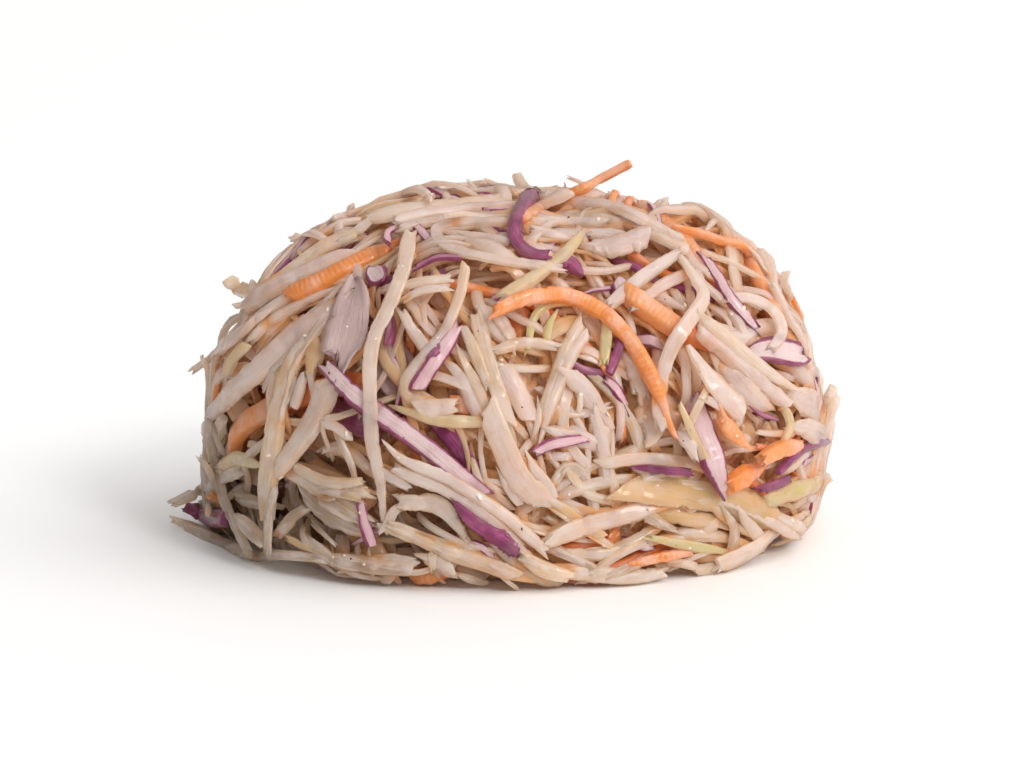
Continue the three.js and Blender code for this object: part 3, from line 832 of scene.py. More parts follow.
def heading_beside(front):
    """A function that gives a place the heading of the front shred nearest to it."""
    spots = np.vstack([item["places"] for item in front])
    ways = np.vstack([directions(item["places"]) for item in front])

    def heading(middle, east, north):
        way = ways[((spots - middle) ** 2).sum(1).argmin()]
        return math.atan2(way @ north, way @ east)

    return heading


def lay_fill(front, heap, deep_heap):
    """Shreds packed under the outer ones, layer on layer, and up into the gaps between them."""
    rng = np.random.default_rng(FILL_SEED)
    heading = heading_beside(front)
    packed = Heap(FILL_FLOOR, cell_hollow)
    ceiling = ceiling_under(heap, deep_heap)
    laid = []
    for count, span, breadth in FILL_ROUNDS:
        middles, outward, east, north = mound_spots(rng, count)
        lengths = rng.uniform(*span, count)
        bends = rng.uniform(-FILL_BEND, FILL_BEND, count)
        headings = math.pi / 2 + rng.normal(0, FILL_SPREAD, count)
        for i in range(count):
            if -(outward[i] @ SIGHT) >= FILL_FACING:
                headings[i] = heading(middles[i], east[i], north[i]) + rng.normal(0, FOLLOW_SPREAD)
        for route in routes_over_mound(middles, headings, lengths, bends):
            kind = kind_for(rng.uniform(), FILL_SHARES)
            width = rng.uniform(*breadth)
            if len(route) < 4:
                continue
            made = lay_loose(packed, kind, width, route, ceiling, 1, "fill")
            if made:
                made["widths"] = (width, width * rng.uniform(*SLIMMER))
                laid.append(made)
    return laid, packed


def lay_fine(front, heap):
    """Thin bits of shred between the lower and the upper ones of the front."""
    rng = np.random.default_rng(FINE_SEED)
    heading = heading_beside(front)
    middles, outward, east, north = mound_spots(rng, FINE_COUNT)
    lengths = rng.uniform(*FINE_LENGTH, FINE_COUNT)
    bends = rng.uniform(-FILL_BEND, FILL_BEND, FINE_COUNT)
    headings = np.array([heading(*row) + rng.normal(0, FINE_SPREAD) for row in zip(middles, east, north)])
    laid = []
    for i, route in enumerate(routes_over_mound(middles, headings, lengths, bends)):
        kind = kind_for(rng.uniform(), FILL_SHARES)
        width = rng.uniform(*FINE_WIDTH)
        narrow = width * rng.uniform(0.5, 1)
        hidden = -(outward[i] @ SIGHT) < FINE_FACING or hollow_at(middles[i]) > FINE_HOLLOW
        if len(route) < 5 or hidden:
            continue
        made = lay_loose(heap, kind, width, route, lambda _: FINE_TOP, LOWER_PRESS, "fine")
        if made:
            made["widths"] = (width, narrow)
            laid.append(made)
    return laid


def hollow_at(place):
    """How much deeper the gaps are at a place of the front."""
    x, y, z = place
    if y > 0:
        return 0
    return max(
        depth * math.exp(-(((x - middle) ** 2 + (z - height) ** 2) / reach**2))
        for middle, height, reach, depth in HOLLOWS
    )


def cell_hollow(key):
    return hollow_at([CELL * k for k in key])


def ceiling_under(heap, deep_heap):
    """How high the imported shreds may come: under the outer shreds, and well up between them."""
    roofs = heap.roofs()

    def over(key):
        lows = [each.low[key] for each in (heap, deep_heap) if key in each.low]
        if lows:
            return min(lows) + FILL_PRESS - HOLLOW_PRESS * cell_hollow(key)
        block = tuple(k // ROOF_BLOCK for k in key)
        return max(FILL_OPEN, ROOF_SHARE * roofs.get(block, 0)) - cell_hollow(key)

    return lambda cells: np.array([min(over(key) for key in under) for under in cells])


# ---- Meshes ----
def rolling(rng, at, wavelength):
    """A smooth random run from -1 to 1 along some stations."""
    knots = int(at[-1] / wavelength) + 4
    values = rng.uniform(-1, 1, knots)
    place = at / wavelength + 0.5
    low = place.astype(int)
    t = place - low
    t = t * t * (3 - 2 * t)
    return values[low] * (1 - t) + values[low + 1] * t


# ---- Each shred's surface ----
HOLLOW_PAINTED_SHADE = {"front": 0.5, "fine": 0.9, "around": 0.8, "fill": 1.3} # how much painted shade a hollow gives each rank
RING_GAP = {"front": 0.65, "fine": 1.05, "around": 1.9, "fill": 1.8}
# Half a section: each place across it and how thick the shred is there.
SHRED_SECTION = ((-1, 0.42), (-0.92, 0.78), (-0.66, 0.97), (0, 1.04), (0.66, 0.97), (0.92, 0.78), (1, 0.42))
INNER_SECTION = ((-1, 0.45), (-0.82, 0.88), (0, 1.04), (0.82, 0.88), (1, 0.45))
LEAF_SECTION = tuple((x / 6, 1 if abs(x) < 6 else 0.5) for x in range(-6, 7))
ENDS = ("cut", "cut", "torn", "point")
FRONT_ENDS = ("cut", "torn", "torn", "torn", "torn", "point")
# How much each thing wavers along a shred, and over what length.
WAVER = {
    "twist": (0.35, 14),
    "across": (0.16, 10),
    "out": (0.12, 7),
    "width": (0.06, 5),
    "thickness": (0.1, 9),
    "edge": (0.06, 3.5),
    "ridge": (0.8, 9),
}
TWIST = 0.4
LEAF_TWIST = 0.2
RIB_THICKNESS = 0.012
RIB_WIDTH = 0.01
CUP = 0.12
LEAF_CUP = 0.1
LEAF_WAVE = 0.05
LEAF_WAVE_LENGTH = 2.6
LEAF_WAVE_SLANT = 1.9
LEAF_RIM = 0.3 # the depth of skin at a leaf's ends, as a share of its width
NOTCH = 1.1 # how much of its half width a notch in a shred's edge takes away
NOTCH_LENGTH = 1.5
NOTCH_RARITY = 0.75
ROUGH = 0.008
ROUGH_PATCH = 0.04
PATCH_LENGTH = 5
END_REACH = 2.5
END_SLANT = 0.45
TORN_REACH = (-1.3, 0.7)
SKEW = 0.16
RIDGE = 0.07
RIDGED_FROM = 0.85
CAP_SHARE = 0.9
CAP_BULGE = 0.03
END_RING = 0.14
STREAK_WIDTH = 2.4 # from this width on, a wider shred shows more streaks
FAINT_EDGE = 0.8 # how much skin the fainter edge of a red shred shows
GOLDEN_PLACE = (22, -38, 16) # where the shreds turn more golden
GOLDEN_REACH = 19
GOLDEN_SHIFT = 0.3
TOP_PAINTED_LIGHT_SHIFT = -0.2 # how much paler the upper shreds are: partly their own tone, partly painted light on the top
LOW_SHIFT = 0.26 # how much yellower the lowest shreds are
PAINTED_SHADE_PLACE = (-40, -30, 8) # where the shreds are greyer and darker, as painted shade
PAINTED_SHADE_REACH = 24
PAINTED_SHADE_SHIFT = 1.1


def end_shape(end, distance, reach, rng):
    """The share of a shred's width that is left at each distance from one end."""
    if end == "point":
        return 0.2 + 0.8 * np.minimum(distance / min(rng.uniform(5, 14), 0.5 * reach), 1) ** 0.8
    if end == "torn":
        return 0.78 + 0.22 * np.minimum(distance / 4, 1)
    return 0.8 + 0.2 * np.minimum(distance / 0.9, 1)


def leaf_shape(share):
    """A leaf's outline: round at both ends, widest past its middle."""
    return np.sqrt(np.clip(1 - np.abs(2 * share**1.2 - 1) ** 2.6, 0.03, 1))


def stations_for(reach, gap):
    inner = np.linspace(0, reach, max(6, round(reach / gap)) + 1)[1:-1]
    return np.concatenate([[0, END_RING], inner, [reach - END_RING, reach]])


def hollows_around(places):
    """How deep the gaps are round each place of a shred, as a share of the deepest."""
    return np.array([hollow_at(place) for place in places]) / DEEPEST_HOLLOW


def shifted(tone, place):
    """A white shred's tone, by where it lies on the heap: more golden in one place, paler high up, partly as
    painted light, yellower low down, and greyer on the lower left as painted shade.
    """
    x, _, z = place
    tone += GOLDEN_SHIFT * math.exp(-((math.dist(place, GOLDEN_PLACE) / GOLDEN_REACH) ** 2))
    tone += TOP_PAINTED_LIGHT_SHIFT * np.interp(z, (10, 25), (0, 1)) * np.interp(abs(x), (0, 30), (0.3, 1))
    tone += LOW_SHIFT * np.interp(z, (4, 22), (1, 0))
    return tone + PAINTED_SHADE_SHIFT * math.exp(-((math.dist(place, PAINTED_SHADE_PLACE) / PAINTED_SHADE_REACH) ** 2))


def over_rings(values, m):
    """One value a ring, given to its m points, and the first and last to the closed ends too."""
    first, last = np.full(m + 1, values[0]), np.full(m + 1, values[-1])
    return np.concatenate([np.repeat(values, m), first, last])


def shred_mesh(item, rng):
    """The closed surface of one shred: rings of points round a flat section, and two capped ends."""
    kind, rank = item["kind"], item["rank"]
    family, tones, dark, skin = KINDS[kind]
    broad = kind in BROAD
    width = max(item["widths"])
    curve = smooth_curve(item["places"], 6)
    reach = length_of(curve)
    along = stations_for(reach, RING_GAP[rank])
    n = len(along)
    share = along / reach

    def waver(name):
        amount, wavelength = WAVER[name]
        return amount * rolling(rng, along, wavelength)

    def ragged():
        notches = NOTCH * np.maximum(0, rolling(rng, along, NOTCH_LENGTH) - NOTCH_RARITY)
        return (1 - notches + waver("edge"))[:, None]

    # The middle line, with the ways along, across and out of the shred.
    line = on_curve(curve, along)
    ahead = directions(line)
    _, outward = off_mound(line)
    across = unit(np.cross(unit(outward - item["facing"] * SIGHT), ahead))
    out = np.cross(ahead, across)
    twist = rng.uniform(-TWIST, TWIST) * (2 * share - 1) + waver("twist")
    if broad:
        twist = LEAF_TWIST * twist
    cosine, sine = np.cos(twist)[:, None], np.sin(twist)[:, None]
    across, out = across * cosine + out * sine, out * cosine - across * sine
    line = line + across * waver("across")[:, None]
    line = line + out * waver("out")[:, None]

    # How wide and thick each ring is.
    section = LEAF_SECTION if broad else INNER_SECTION if rank in ("fill", "around") else SHRED_SECTION
    x, half = (np.array(column, float) for column in zip(*section))
    columns = len(x)
    taper = np.interp(share, np.linspace(0, 1, len(item["widths"])), np.array(item["widths"]) / width)
    sides_of_end = ((along, -1), (reach - along, 1))
    ends = ("cut", "cut")
    if broad:
        taper = taper * leaf_shape(share)
    else:
        choice = FRONT_ENDS if rank in ("front", "fine") else ENDS
        ends = [choice[i] for i in rng.integers(0, len(choice), 2)]
        for end, (distance, _) in zip(ends, sides_of_end):
            taper = taper * end_shape(end, distance, reach, rng)
    widths = width * taper * (1 + waver("width"))
    thick = item["thickness"] * np.sqrt(taper) * (1 + waver("thickness"))
    if kind == "carrot":
        rib = np.sin(2 * math.pi * along / CARROT_RIB)
        thick = thick * (1 + RIB_THICKNESS * rib)
        widths = widths * (1 + RIB_WIDTH * rib)

    # How each ring is cupped, frayed and slanted.
    lift = rng.uniform(-CUP, CUP) * width * (x**2)[None, :] * np.ones((n, 1))
    if broad:
        wave = along[:, None] / LEAF_WAVE_LENGTH + rng.uniform(0, 6) + x[None, :] * LEAF_WAVE_SLANT
        lift = lift + LEAF_WAVE * width * np.sin(wave)
        lift = lift + LEAF_CUP * width * x[None, :] ** 2
    left, right = ragged(), ragged()
    frayed = np.where(x[None, :] < 0, left, right)
    patch = 0.5 + 0.5 * rolling(rng, along, PATCH_LENGTH)
    rough = (ROUGH + ROUGH_PATCH * patch**3) * width
    lean = np.zeros((n, columns))
    for end, (distance, sense) in zip(ends, sides_of_end):
        near = np.clip(1 - distance / END_REACH, 0, 1)[:, None]
        lean = lean + near * x[None, :] * rng.uniform(-END_SLANT, END_SLANT) * width
        if end == "torn":
            lean = lean + sense * near * rng.uniform(*TORN_REACH, columns)[None, :]

    # The points of the rings, and the two capped ends.
    skew = rng.uniform(-SKEW, SKEW)
    sides = []
    for side in (1, -1):
        ridge = rng.normal(0, RIDGE, columns)[None, :] * (1 + waver("ridge"))[:, None]
        spread = (x + skew * side)[None, :] * (widths / 2)[:, None] * frayed
        spread = spread + rough[:, None] * rng.normal(0, 1, (n, columns))
        ridged = 1 + ridge * (half > RIDGED_FROM)[None, :]
        rise = side * half[None, :] * (thick / 2)[:, None] * ridged + lift
        rise = rise + 0.5 * rough[:, None] * rng.normal(0, 1, (n, columns))
        sides.append(
            line[:, None, :]
            + across[:, None, :] * spread[..., None]
            + out[:, None, :] * rise[..., None]
            + ahead[:, None, :] * lean[..., None]
        )
    ring = np.concatenate([sides[0], sides[1][:, ::-1]], axis=1)
    m = 2 * columns
    caps = []
    for i, sense in ((0, -1), (n - 1, 1)):
        middle = ring[i].mean(0)
        bulge = ahead[i] * sense * CAP_BULGE
        caps.append(middle + CAP_SHARE * (ring[i] - middle) + bulge)
        caps.append((middle + bulge)[None, :])
    points = np.vstack([ring.reshape(-1, 3)] + caps)
    points[:, 2] = np.maximum(points[:, 2], FLOOR_GAP)

    # What the finishes read at each point.
    edge = np.abs(x)
    if family == "red":
        edge = np.where(x * rng.choice([-1, 1]) > 0, edge, FAINT_EDGE * edge)
    rim = np.repeat(edge[None, :], n, axis=0)
    if broad:
        from_end = np.minimum(along, reach - along)
        rim = np.maximum(rim, np.clip(1 - from_end / (LEAF_RIM * width), 0, 1)[:, None] ** 2)
    rim = skin * np.concatenate([rim, rim[:, ::-1]], axis=1)
    tone = rng.uniform(*tones)
    if family == "white":
        tone = shifted(tone, line[n // 2])
    position = np.concatenate([x, x[::-1]])
    streaks = 1 if family == "carrot" else max(1, width / STREAK_WIDTH)
    values = {
        "along": over_rings(along, m),
        "over": np.concatenate([np.tile(position, n), position, [0], position, [0]]) * streaks,
        "rim": np.concatenate([rim.ravel(), rim[0], [rim[0].min()], rim[-1], [rim[-1].min()]]),
        "tone": np.full(len(points), tone),
        "dark": np.full(len(points), float(dark)),
        "gloom": over_rings(HOLLOW_PAINTED_SHADE[rank] * hollows_around(line), m),
    }
    starts = line + out * (thick / 2 + OPEN_START)[:, None] + CENTRING
    return points + CENTRING, *tube_faces(n, m), values, (starts, out, m)


def bridge(low, high, flipped=False):
    """The quads between two rings, or rows of rings, of point numbers."""
    quads = np.stack([low, np.roll(low, -1, -1), np.roll(high, -1, -1), high], axis=-1).reshape(-1, 4)
    return quads[:, [1, 0, 3, 2]] if flipped else quads


def fan(ring, tip, flipped=False):
    """The triangles between a ring and the point that closes it."""
    triangles = np.stack([ring, np.roll(ring, -1), np.full(len(ring), tip)], axis=-1)
    return triangles[:, [1, 0, 2]] if flipped else triangles


def tube_faces(n, m):
    """The faces of n rings of m points, closed at each end by a smaller ring and a middle point."""
    rings = np.arange(n * m).reshape(n, m)
    first, last = n * m + np.arange(2 * m + 2).reshape(2, m + 1)
    quads = [bridge(rings[:-1], rings[1:]), bridge(rings[0], first[:m], True), bridge(rings[-1], last[:m])]
    return np.vstack(quads), np.vstack([fan(first[:m], first[m], True), fan(last[:m], last[m])])


def shell_faces(n, m, downward=False):
    """The faces of n rings of m points, closed above by the next point and below by the one after it."""
    rings = np.arange(n * m).reshape(n, m)
    low, high = (rings[-1], rings[0]) if downward else (rings[0], rings[-1])
    fans = np.vstack([fan(high, n * m), fan(low, n * m + 1, True)])
    return bridge(rings[:-1], rings[1:], downward), fans


class Soup:
    """Many closed surfaces gathered into one mesh object."""

    def __init__(self):
        self.points, self.quads, self.fans = [], [], []
        self.values = {}
        self.stations = []
        self.count = 0

    def mark_openness(self, tree):
        """Every place of a shred's ring is as open as the space in front of the ring."""
        starts = np.vstack([start for start, _, _ in self.stations])
        facing = np.vstack([facing for _, facing, _ in self.stations])
        found = openness(tree, starts, facing)
        self.values["open"] = []
        first = 0
        for start, _, ring in self.stations:
            own = found[first : first + len(start)]
            first += len(start)
            padded = np.concatenate([own[:1], own, own[-1:]])
            own = 0.25 * padded[:-2] + 0.5 * own + 0.25 * padded[2:]
            self.values["open"].append(over_rings(own, ring))

    def add(self, points, quads, fans, values, stations=None):
        self.points.append(points)
        if stations:
            self.stations.append(stations)
        self.quads.append(quads + self.count)
        self.fans.append(fans + self.count)
        for name, value in values.items():
            self.values.setdefault(name, []).append(value)
        self.count += len(points)

    def object(self, name, material):
        points = np.vstack(self.points) * MM
        quads = np.vstack(self.quads)
        fans = np.vstack(self.fans)
        mesh = bpy.data.meshes.new(name)
        mesh.vertices.add(len(points))
        mesh.vertices.foreach_set("co", points.astype(np.float32).ravel())
        corners = np.concatenate([quads.ravel(), fans.ravel()]).astype(np.int32)
        mesh.loops.add(len(corners))
        mesh.loops.foreach_set("vertex_index", corners)
        starts = np.concatenate(
            [np.arange(len(quads)) * 4, 4 * len(quads) + np.arange(len(fans)) * 3]
        ).astype(np.int32)
        mesh.polygons.add(len(starts))
        mesh.polygons.foreach_set("loop_start", starts)
        mesh.update(calc_edges=True)
        mesh.polygons.foreach_set("use_smooth", np.ones(len(starts), bool))
        for label, value in self.values.items():
            layer = mesh.attributes.new(label, "FLOAT", "POINT")
            layer.data.foreach_set("value", np.concatenate(value).astype(np.float32))
        mesh.materials.append(material)
        mesh.validate()
        made = bpy.data.objects.new(name, mesh)
        bpy.context.scene.collection.objects.link(made)
        return made


# ---- How open each place on the shreds is ----
OPEN_REACH = 6.0
OPEN_START = 0.45 # how far off the shred the look around starts
OPEN_TILTS = [(0, 1), (math.radians(35), 4), (math.radians(62), 6)]


def tree_of(soups):
    """One search tree over the surfaces of all the pieces."""
    points, faces, offset = [], [], 0
    for soup in soups:
        points.append(np.vstack(soup.points))
        faces += (np.vstack(soup.quads) + offset).tolist()
        offset += len(points[-1])
    return BVHTree.FromPolygons(np.vstack(points).tolist(), faces)


def openness(tree, starts, facing):
    """The share of open space in front of each place, from 0 to 1."""
    side = unit(np.cross(facing, [0.31, 0.87, 0.38]))
    other = np.cross(facing, side)
    origins = starts.tolist()
    cast = tree.ray_cast
    total = np.zeros(len(starts))
    ways = 0
    for tilt, count in OPEN_TILTS:
        for i in range(count):
            angle = 2 * math.pi * (i + 0.5) / count
            around = side * math.cos(angle) + other * math.sin(angle)
            way = facing * math.cos(tilt) + around * math.sin(tilt)
            hits = [cast(start, towards, OPEN_REACH)[3] for start, towards in zip(origins, way.tolist())]
            total += np.array([OPEN_REACH if far is None else far for far in hits]) / OPEN_REACH
            ways += 1
    return total / ways


# ---- Finishes ----
def srgb(red, green, blue):
    """A colour given as it looks on a screen, from 0 to 255."""
    return tuple(
        v / 12.92 if v <= 0.04045 else ((v + 0.055) / 1.055) ** 2.4
        for v in (red / 255, green / 255, blue / 255)
    ) + (1.0,)


class Wire:
    """A socket of a finish's nodes; sums on wires add Math nodes."""

    def __init__(self, finish, socket):
        self.finish, self.socket = finish, socket

    def _math(self, operation, *values):
        return self.finish.node("ShaderNodeMath", {"operation": operation}, *values)

    def __add__(self, other):
        return self._math("ADD", self, other)

    __radd__ = __add__

    def __sub__(self, other):
        return self._math("SUBTRACT", self, other)

    def __rsub__(self, other):
        return self._math("SUBTRACT", other, self)

    def __mul__(self, other):
        return self._math("MULTIPLY", self, other)

    __rmul__ = __mul__

    def __pow__(self, other):
        return self._math("POWER", self, other)

    def absolute(self):
        return self._math("ABSOLUTE", self)

    def sine(self):
        return self._math("SINE", self)

    def between(self, low, high):
        """0 below low, 1 above high, smooth between."""
        return self.finish.node(
            "ShaderNodeMapRange", {"interpolation_type": "SMOOTHSTEP"}, self, low, high, 0.0, 1.0
        )


class Finish:
    """A material under construction."""

    def __init__(self, name):
        self.material = bpy.data.materials.new(name)
        self.material.use_nodes = True
        self.tree = self.material.node_tree
        self.tree.nodes.clear()
        self.shader = self.tree.nodes.new("ShaderNodeBsdfPrincipled")
        self.surface = self.tree.nodes.new("ShaderNodeOutputMaterial").inputs["Surface"]
        self.tree.links.new(self.shader.outputs[0], self.surface)

    def node(self, kind, settings, *values, output=0, **named):
        made = self.tree.nodes.new(kind)
        for name, value in settings.items():
            if name == "stops":
                ramp = made.color_ramp.elements
                while len(ramp) < len(value):
                    ramp.new(1.0)
                for element, (at, colour) in zip(ramp, value):
                    element.position = at
                    element.color = colour
            else:
                setattr(made, name, value)
        for key, value in list(enumerate(values)) + list(named.items()):
            self.feed(made.inputs[key], value)
        return Wire(self, made.outputs[output])

    def feed(self, socket, value):
        if isinstance(value, Wire):
            self.tree.links.new(value.socket, socket)
        elif value is not None:
            socket.default_value = value

    def set(self, **values):
        for name, value in values.items():
            self.feed(self.shader.inputs[name.replace("_", " ")], value)

    def let_light_through(self, share, colour):
        """Mix in a share of the light that comes from behind the surface."""
        through = self.node("ShaderNodeBsdfTranslucent", {}, colour)
        front = Wire(self, self.shader.outputs[0])
        self.feed(self.surface, self.node("ShaderNodeMixShader", {}, share, front, through))

    def attribute(self, name):
        return self.node("ShaderNodeAttribute", {"attribute_name": name}, output=2)

    def noise(self, where, scale, detail=2.0, rough=0.5):
        return self.node(
            "ShaderNodeTexNoise", {}, Vector=where, Scale=scale, Detail=detail, Roughness=rough
        )

    def mottle(self, scale, detail=2.0, rough=0.5):
        """Noise that is fixed in the object's own space."""
        return self.noise(self.node("ShaderNodeTexCoord", {}, output=3), scale, detail, rough)

    def fibres(self, along_scale, over_scale, spread=97.0, rough=0.6):
        """Streaks that run along each shred, other ones on each."""
        along = self.attribute("along") * along_scale
        over = self.attribute("over") * over_scale
        where = self.node("ShaderNodeCombineXYZ", {}, along, over, self.attribute("tone") * spread)
        return self.noise(where, 1.0, 3.0, rough)

    def ramp(self, share, *stops):
        return self.node("ShaderNodeValToRGB", {"stops": stops}, share)

    def mix(self, share, a, b):
        return self.node("ShaderNodeMix", {"data_type": "RGBA"}, share, *[None] * 5, a, b, output=2)

    def dressed(self, colour, amount):
        """The colour under a thin uneven film of creamy dressing, and where the film is."""
        film = self.mottle(260, 3.0, 0.6).between(0.42, 0.66)
        return self.mix(film * amount, colour, CREAM_AND_GLINT), film

    def with_painted_shade(self, colour, deep, amount):
        """Painted shade: warmer and deeper where other shreds lie close, and darker in the hollows."""
        opened = self.attribute("open")
        hidden = 1 - opened.between(0.25, 1.05)
        colour = self.mix(hidden**1.5 * amount, colour, deep)
        gloom = self.attribute("gloom").between(0.0, 0.8) * (1.3 - opened)
        return self.mix(gloom, colour, HOLLOW_SHADE_COLOUR)

    def wet(self, colour, rough, coat, height, depth, strength=0.7):
        """The finished material: its colour and relief under a wet film."""
        relief = self.node("ShaderNodeBump", {}, Strength=strength, Distance=depth, Height=height)
        self.set(Base_Color=colour, Roughness=rough, Coat_Weight=coat, Normal=relief)
        self.set(IOR=1.4, Coat_Roughness=0.13, Coat_IOR=1.45)
        return self.material


# The dressing's cream, also the colour of painted glints along the fibres.
CREAM_AND_GLINT = srgb(252, 243, 240)
# A warm tint for the veins, and also painted shade on the sides of the shreds.
VEIN_AND_SIDE_SHADE = srgb(234, 186, 140)
# The colour of the painted shade in the hollows.
HOLLOW_SHADE_COLOUR = srgb(92, 50, 28)


def cabbage_finish(name, film_amount, milk_and_glint, *stops):
    finish = Finish(name)
    streak = finish.fibres(0.08, 2.2)
    drift = finish.mottle(75)
    share = finish.attribute("tone") + (streak - 0.5) * 0.3 + (drift - 0.5) * 0.5
    colour = finish.ramp(share, *stops)
    # Warm tint on the sides of a shred: partly the cut edge's own colour, partly painted shade.
    side = finish.attribute("rim").between(0.3, 1.0)
    colour = finish.mix(side * 0.55, colour, VEIN_AND_SIDE_SHADE)
    veins = finish.fibres(0.13, 5.0)
    colour = finish.mix((1 - veins.between(0.36, 0.48)) * 0.4, colour, VEIN_AND_SIDE_SHADE)
    # Pale streaks along the fibres: partly pale fibre, partly painted glints.
    colour = finish.mix(veins.between(0.53, 0.63) * milk_and_glint, colour, CREAM_AND_GLINT)
    smear = finish.fibres(0.3, 0.9, 61.0, 0.55)
    colour = finish.mix(smear.between(0.44, 0.62) * (1 - side) * milk_and_glint, colour, CREAM_AND_GLINT)
    colour, film = finish.dressed(colour, film_amount)
    # Painted shade: golden and deeper where shreds lie close, dark in the hollows.
    colour = finish.with_painted_shade(colour, srgb(250, 178, 104), 0.95)
    height = streak * 0.3 + veins * 0.35 + film * 0.2 + finish.mottle(900) * 0.3
    finish.let_light_through(0.58, (1.0, 0.935, 0.84, 1))
    return finish.wet(colour, 0.2 + film * 0.14, 1.0 - film * 0.2, height, 0.0005)


def carrot_finish():
    finish = Finish("carrot")
    rib = (finish.attribute("along") * (2 * math.pi / CARROT_RIB)).sine() * 0.5 + 0.5
    streak = finish.fibres(0.2, 2.4)
    colour = finish.ramp(
        finish.attribute("tone") * 0.6 + streak * 0.5 - 0.05,
        (0.0, srgb(248, 146, 62)),
        (0.5, srgb(250, 164, 92)),
        (1.0, srgb(250, 188, 134)),
    )
    middle = 1 - finish.attribute("over").absolute().between(0.5, 0.9)
    broken = finish.mottle(700, 2.0, 0.6).between(0.42, 0.6)
    colour = finish.mix(rib * rib * middle * broken * 0.35, colour, srgb(252, 214, 182))
    colour, film = finish.dressed(colour, 0.34)
    # Painted shade: deeper where shreds lie close, dark in the hollows.
    colour = finish.with_painted_shade(colour, srgb(226, 96, 20), 0.7)
    height = rib * middle * 0.25 + finish.mottle(1100, 3.0, 0.6) * 0.7
    finish.let_light_through(0.4, (1.0, 0.62, 0.3, 1))
    return finish.wet(colour, 0.36 + film * 0.16, 0.7 - film * 0.3, height, 0.0004)


def red_cabbage_finish():
    """Pale lilac flesh between dark skins, or skin all over."""
    finish = Finish("red_cabbage")
    dark = finish.attribute("dark")
    streak = finish.fibres(0.15, 3.0)
    mottle = finish.mottle(420, 3.0, 0.65)
    edge = finish.attribute("rim") + (streak - 0.5) * 0.2 + (mottle - 0.5) * 0.16 + dark * 0.3
    face = finish.ramp(
        finish.attribute("tone") + (streak - 0.5) * 0.8 + (mottle - 0.5) * 0.4,
        (0.0, srgb(208, 184, 178)),
        (0.25, srgb(214, 134, 168)),
        (0.5, srgb(230, 182, 190)),
        (0.9, srgb(238, 215, 212)),
    )
    skin = finish.ramp(
        streak * 0.6 + mottle * 0.4,
        (0.3, srgb(80, 4, 50)),
        (0.5, srgb(130, 22, 90)),
        (0.68, srgb(186, 82, 138)),
    )
    blotch = (mottle + dark * 0.9 - 0.45).between(0.1, 0.6)
    colour = finish.mix(blotch * dark, face, skin)
    colour = finish.mix(edge.between(0.6, 0.74), colour, skin)
    colour, film = finish.dressed(colour, 0.1)
    # Painted shade: deeper where shreds lie close, dark in the hollows.
    colour = finish.with_painted_shade(colour, srgb(130, 40, 66), 0.35)
    height = streak * 0.8 + finish.mottle(1000, 3.0, 0.6) * 0.5
    finish.let_light_through(0.28, (1.0, 0.72, 0.74, 1))
    return finish.wet(colour, 0.3 + film * 0.14, 0.55 - film * 0.3, height, 0.0005)


def core_finish():
    finish = Finish("packed_shreds")
    cloud = finish.mottle(420, 4.0, 0.65)
    colour = finish.ramp(
        cloud, (0.34, srgb(176, 112, 70)), (0.5, srgb(220, 168, 122)), (0.66, srgb(242, 216, 190))
    )
    # Painted shade: the core darkens in the hollows.
    hollow = finish.attribute("hollow").between(0.3, 3.5)
    colour = finish.mix(hollow * 0.85, colour, srgb(120, 70, 40))
    return finish.wet(colour, 0.4, None, cloud, 0.001, 0.8)


def plain_finish(name, colour, rough, coat):
    """A small thing's finish: one colour with a slight grain."""
    finish = Finish(name)
    grain = finish.mottle(900, 3.0, 0.6)
    pale = tuple(min(1.0, 1.12 * v) for v in colour[:3]) + (1.0,)
    deep = tuple(0.8 * v for v in colour[:3]) + (1.0,)
    return finish.wet(finish.ramp(grain, (0.3, deep), (0.7, pale)), rough, coat, grain, 0.0003, 0.5)


# ---- The core ----
SOAK_DEPTH = 2.7 # how far the core stays below the packing's top
FOOT_TUCK = 5.0
CORE_ROWS = 80
CORE_COLUMNS = 180
CORE_ROUNDS = 14
FOOT_TUCK_POWER = 12


def core_object(packed):
    """The dressed inside of the heap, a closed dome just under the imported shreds, with a flat foot."""
    centre = np.array([MOUND_X, 0, 0.0])
    turn = np.linspace(0, 2 * math.pi, CORE_COLUMNS, endpoint=False)
    spots, rises = [], []
    for i in range(CORE_ROWS):
        rise = math.radians(90) * i / (CORE_ROWS - 1)
        flat = math.cos(rise)
        up = np.full_like(turn, math.sin(rise))
        way = np.stack([np.cos(turn) * flat, np.sin(turn) * flat, up], axis=1)
        out = np.full(len(turn), MOUND_WIDTH / 2.0)
        for _ in range(CORE_ROUNDS):
            out = out / (1 + mound_field(centre + way * out[:, None]))
        spots.append(centre + way * out[:, None])
        rises.append(up)
    spots = np.array(spots)
    heights = packed.blurred(spots) - SOAK_DEPTH - FOOT_TUCK * (1 - np.array(rises)) ** FOOT_TUCK_POWER
    _, outward = off_mound(spots)
    rows = spots + outward * heights[..., None]
    ring = rows[:-1].copy()
    ring[0, :, 2] = FLOOR_GAP
    points = np.vstack([ring.reshape(-1, 3), rows[-1].mean(0)[None], centre[None] + [0, 0, FLOOR_GAP]])
    # How deep the hollow is at each point, which the core's finish turns into painted shade.
    hollow = [hollow_at(spot) for row in spots[:-1] for spot in row] + [0, 0]
    soup = Soup()
    soup.add(points + CENTRING, *shell_faces(*ring.shape[:2]), {"hollow": np.array(hollow)})
    return soup.object("core", core_finish())


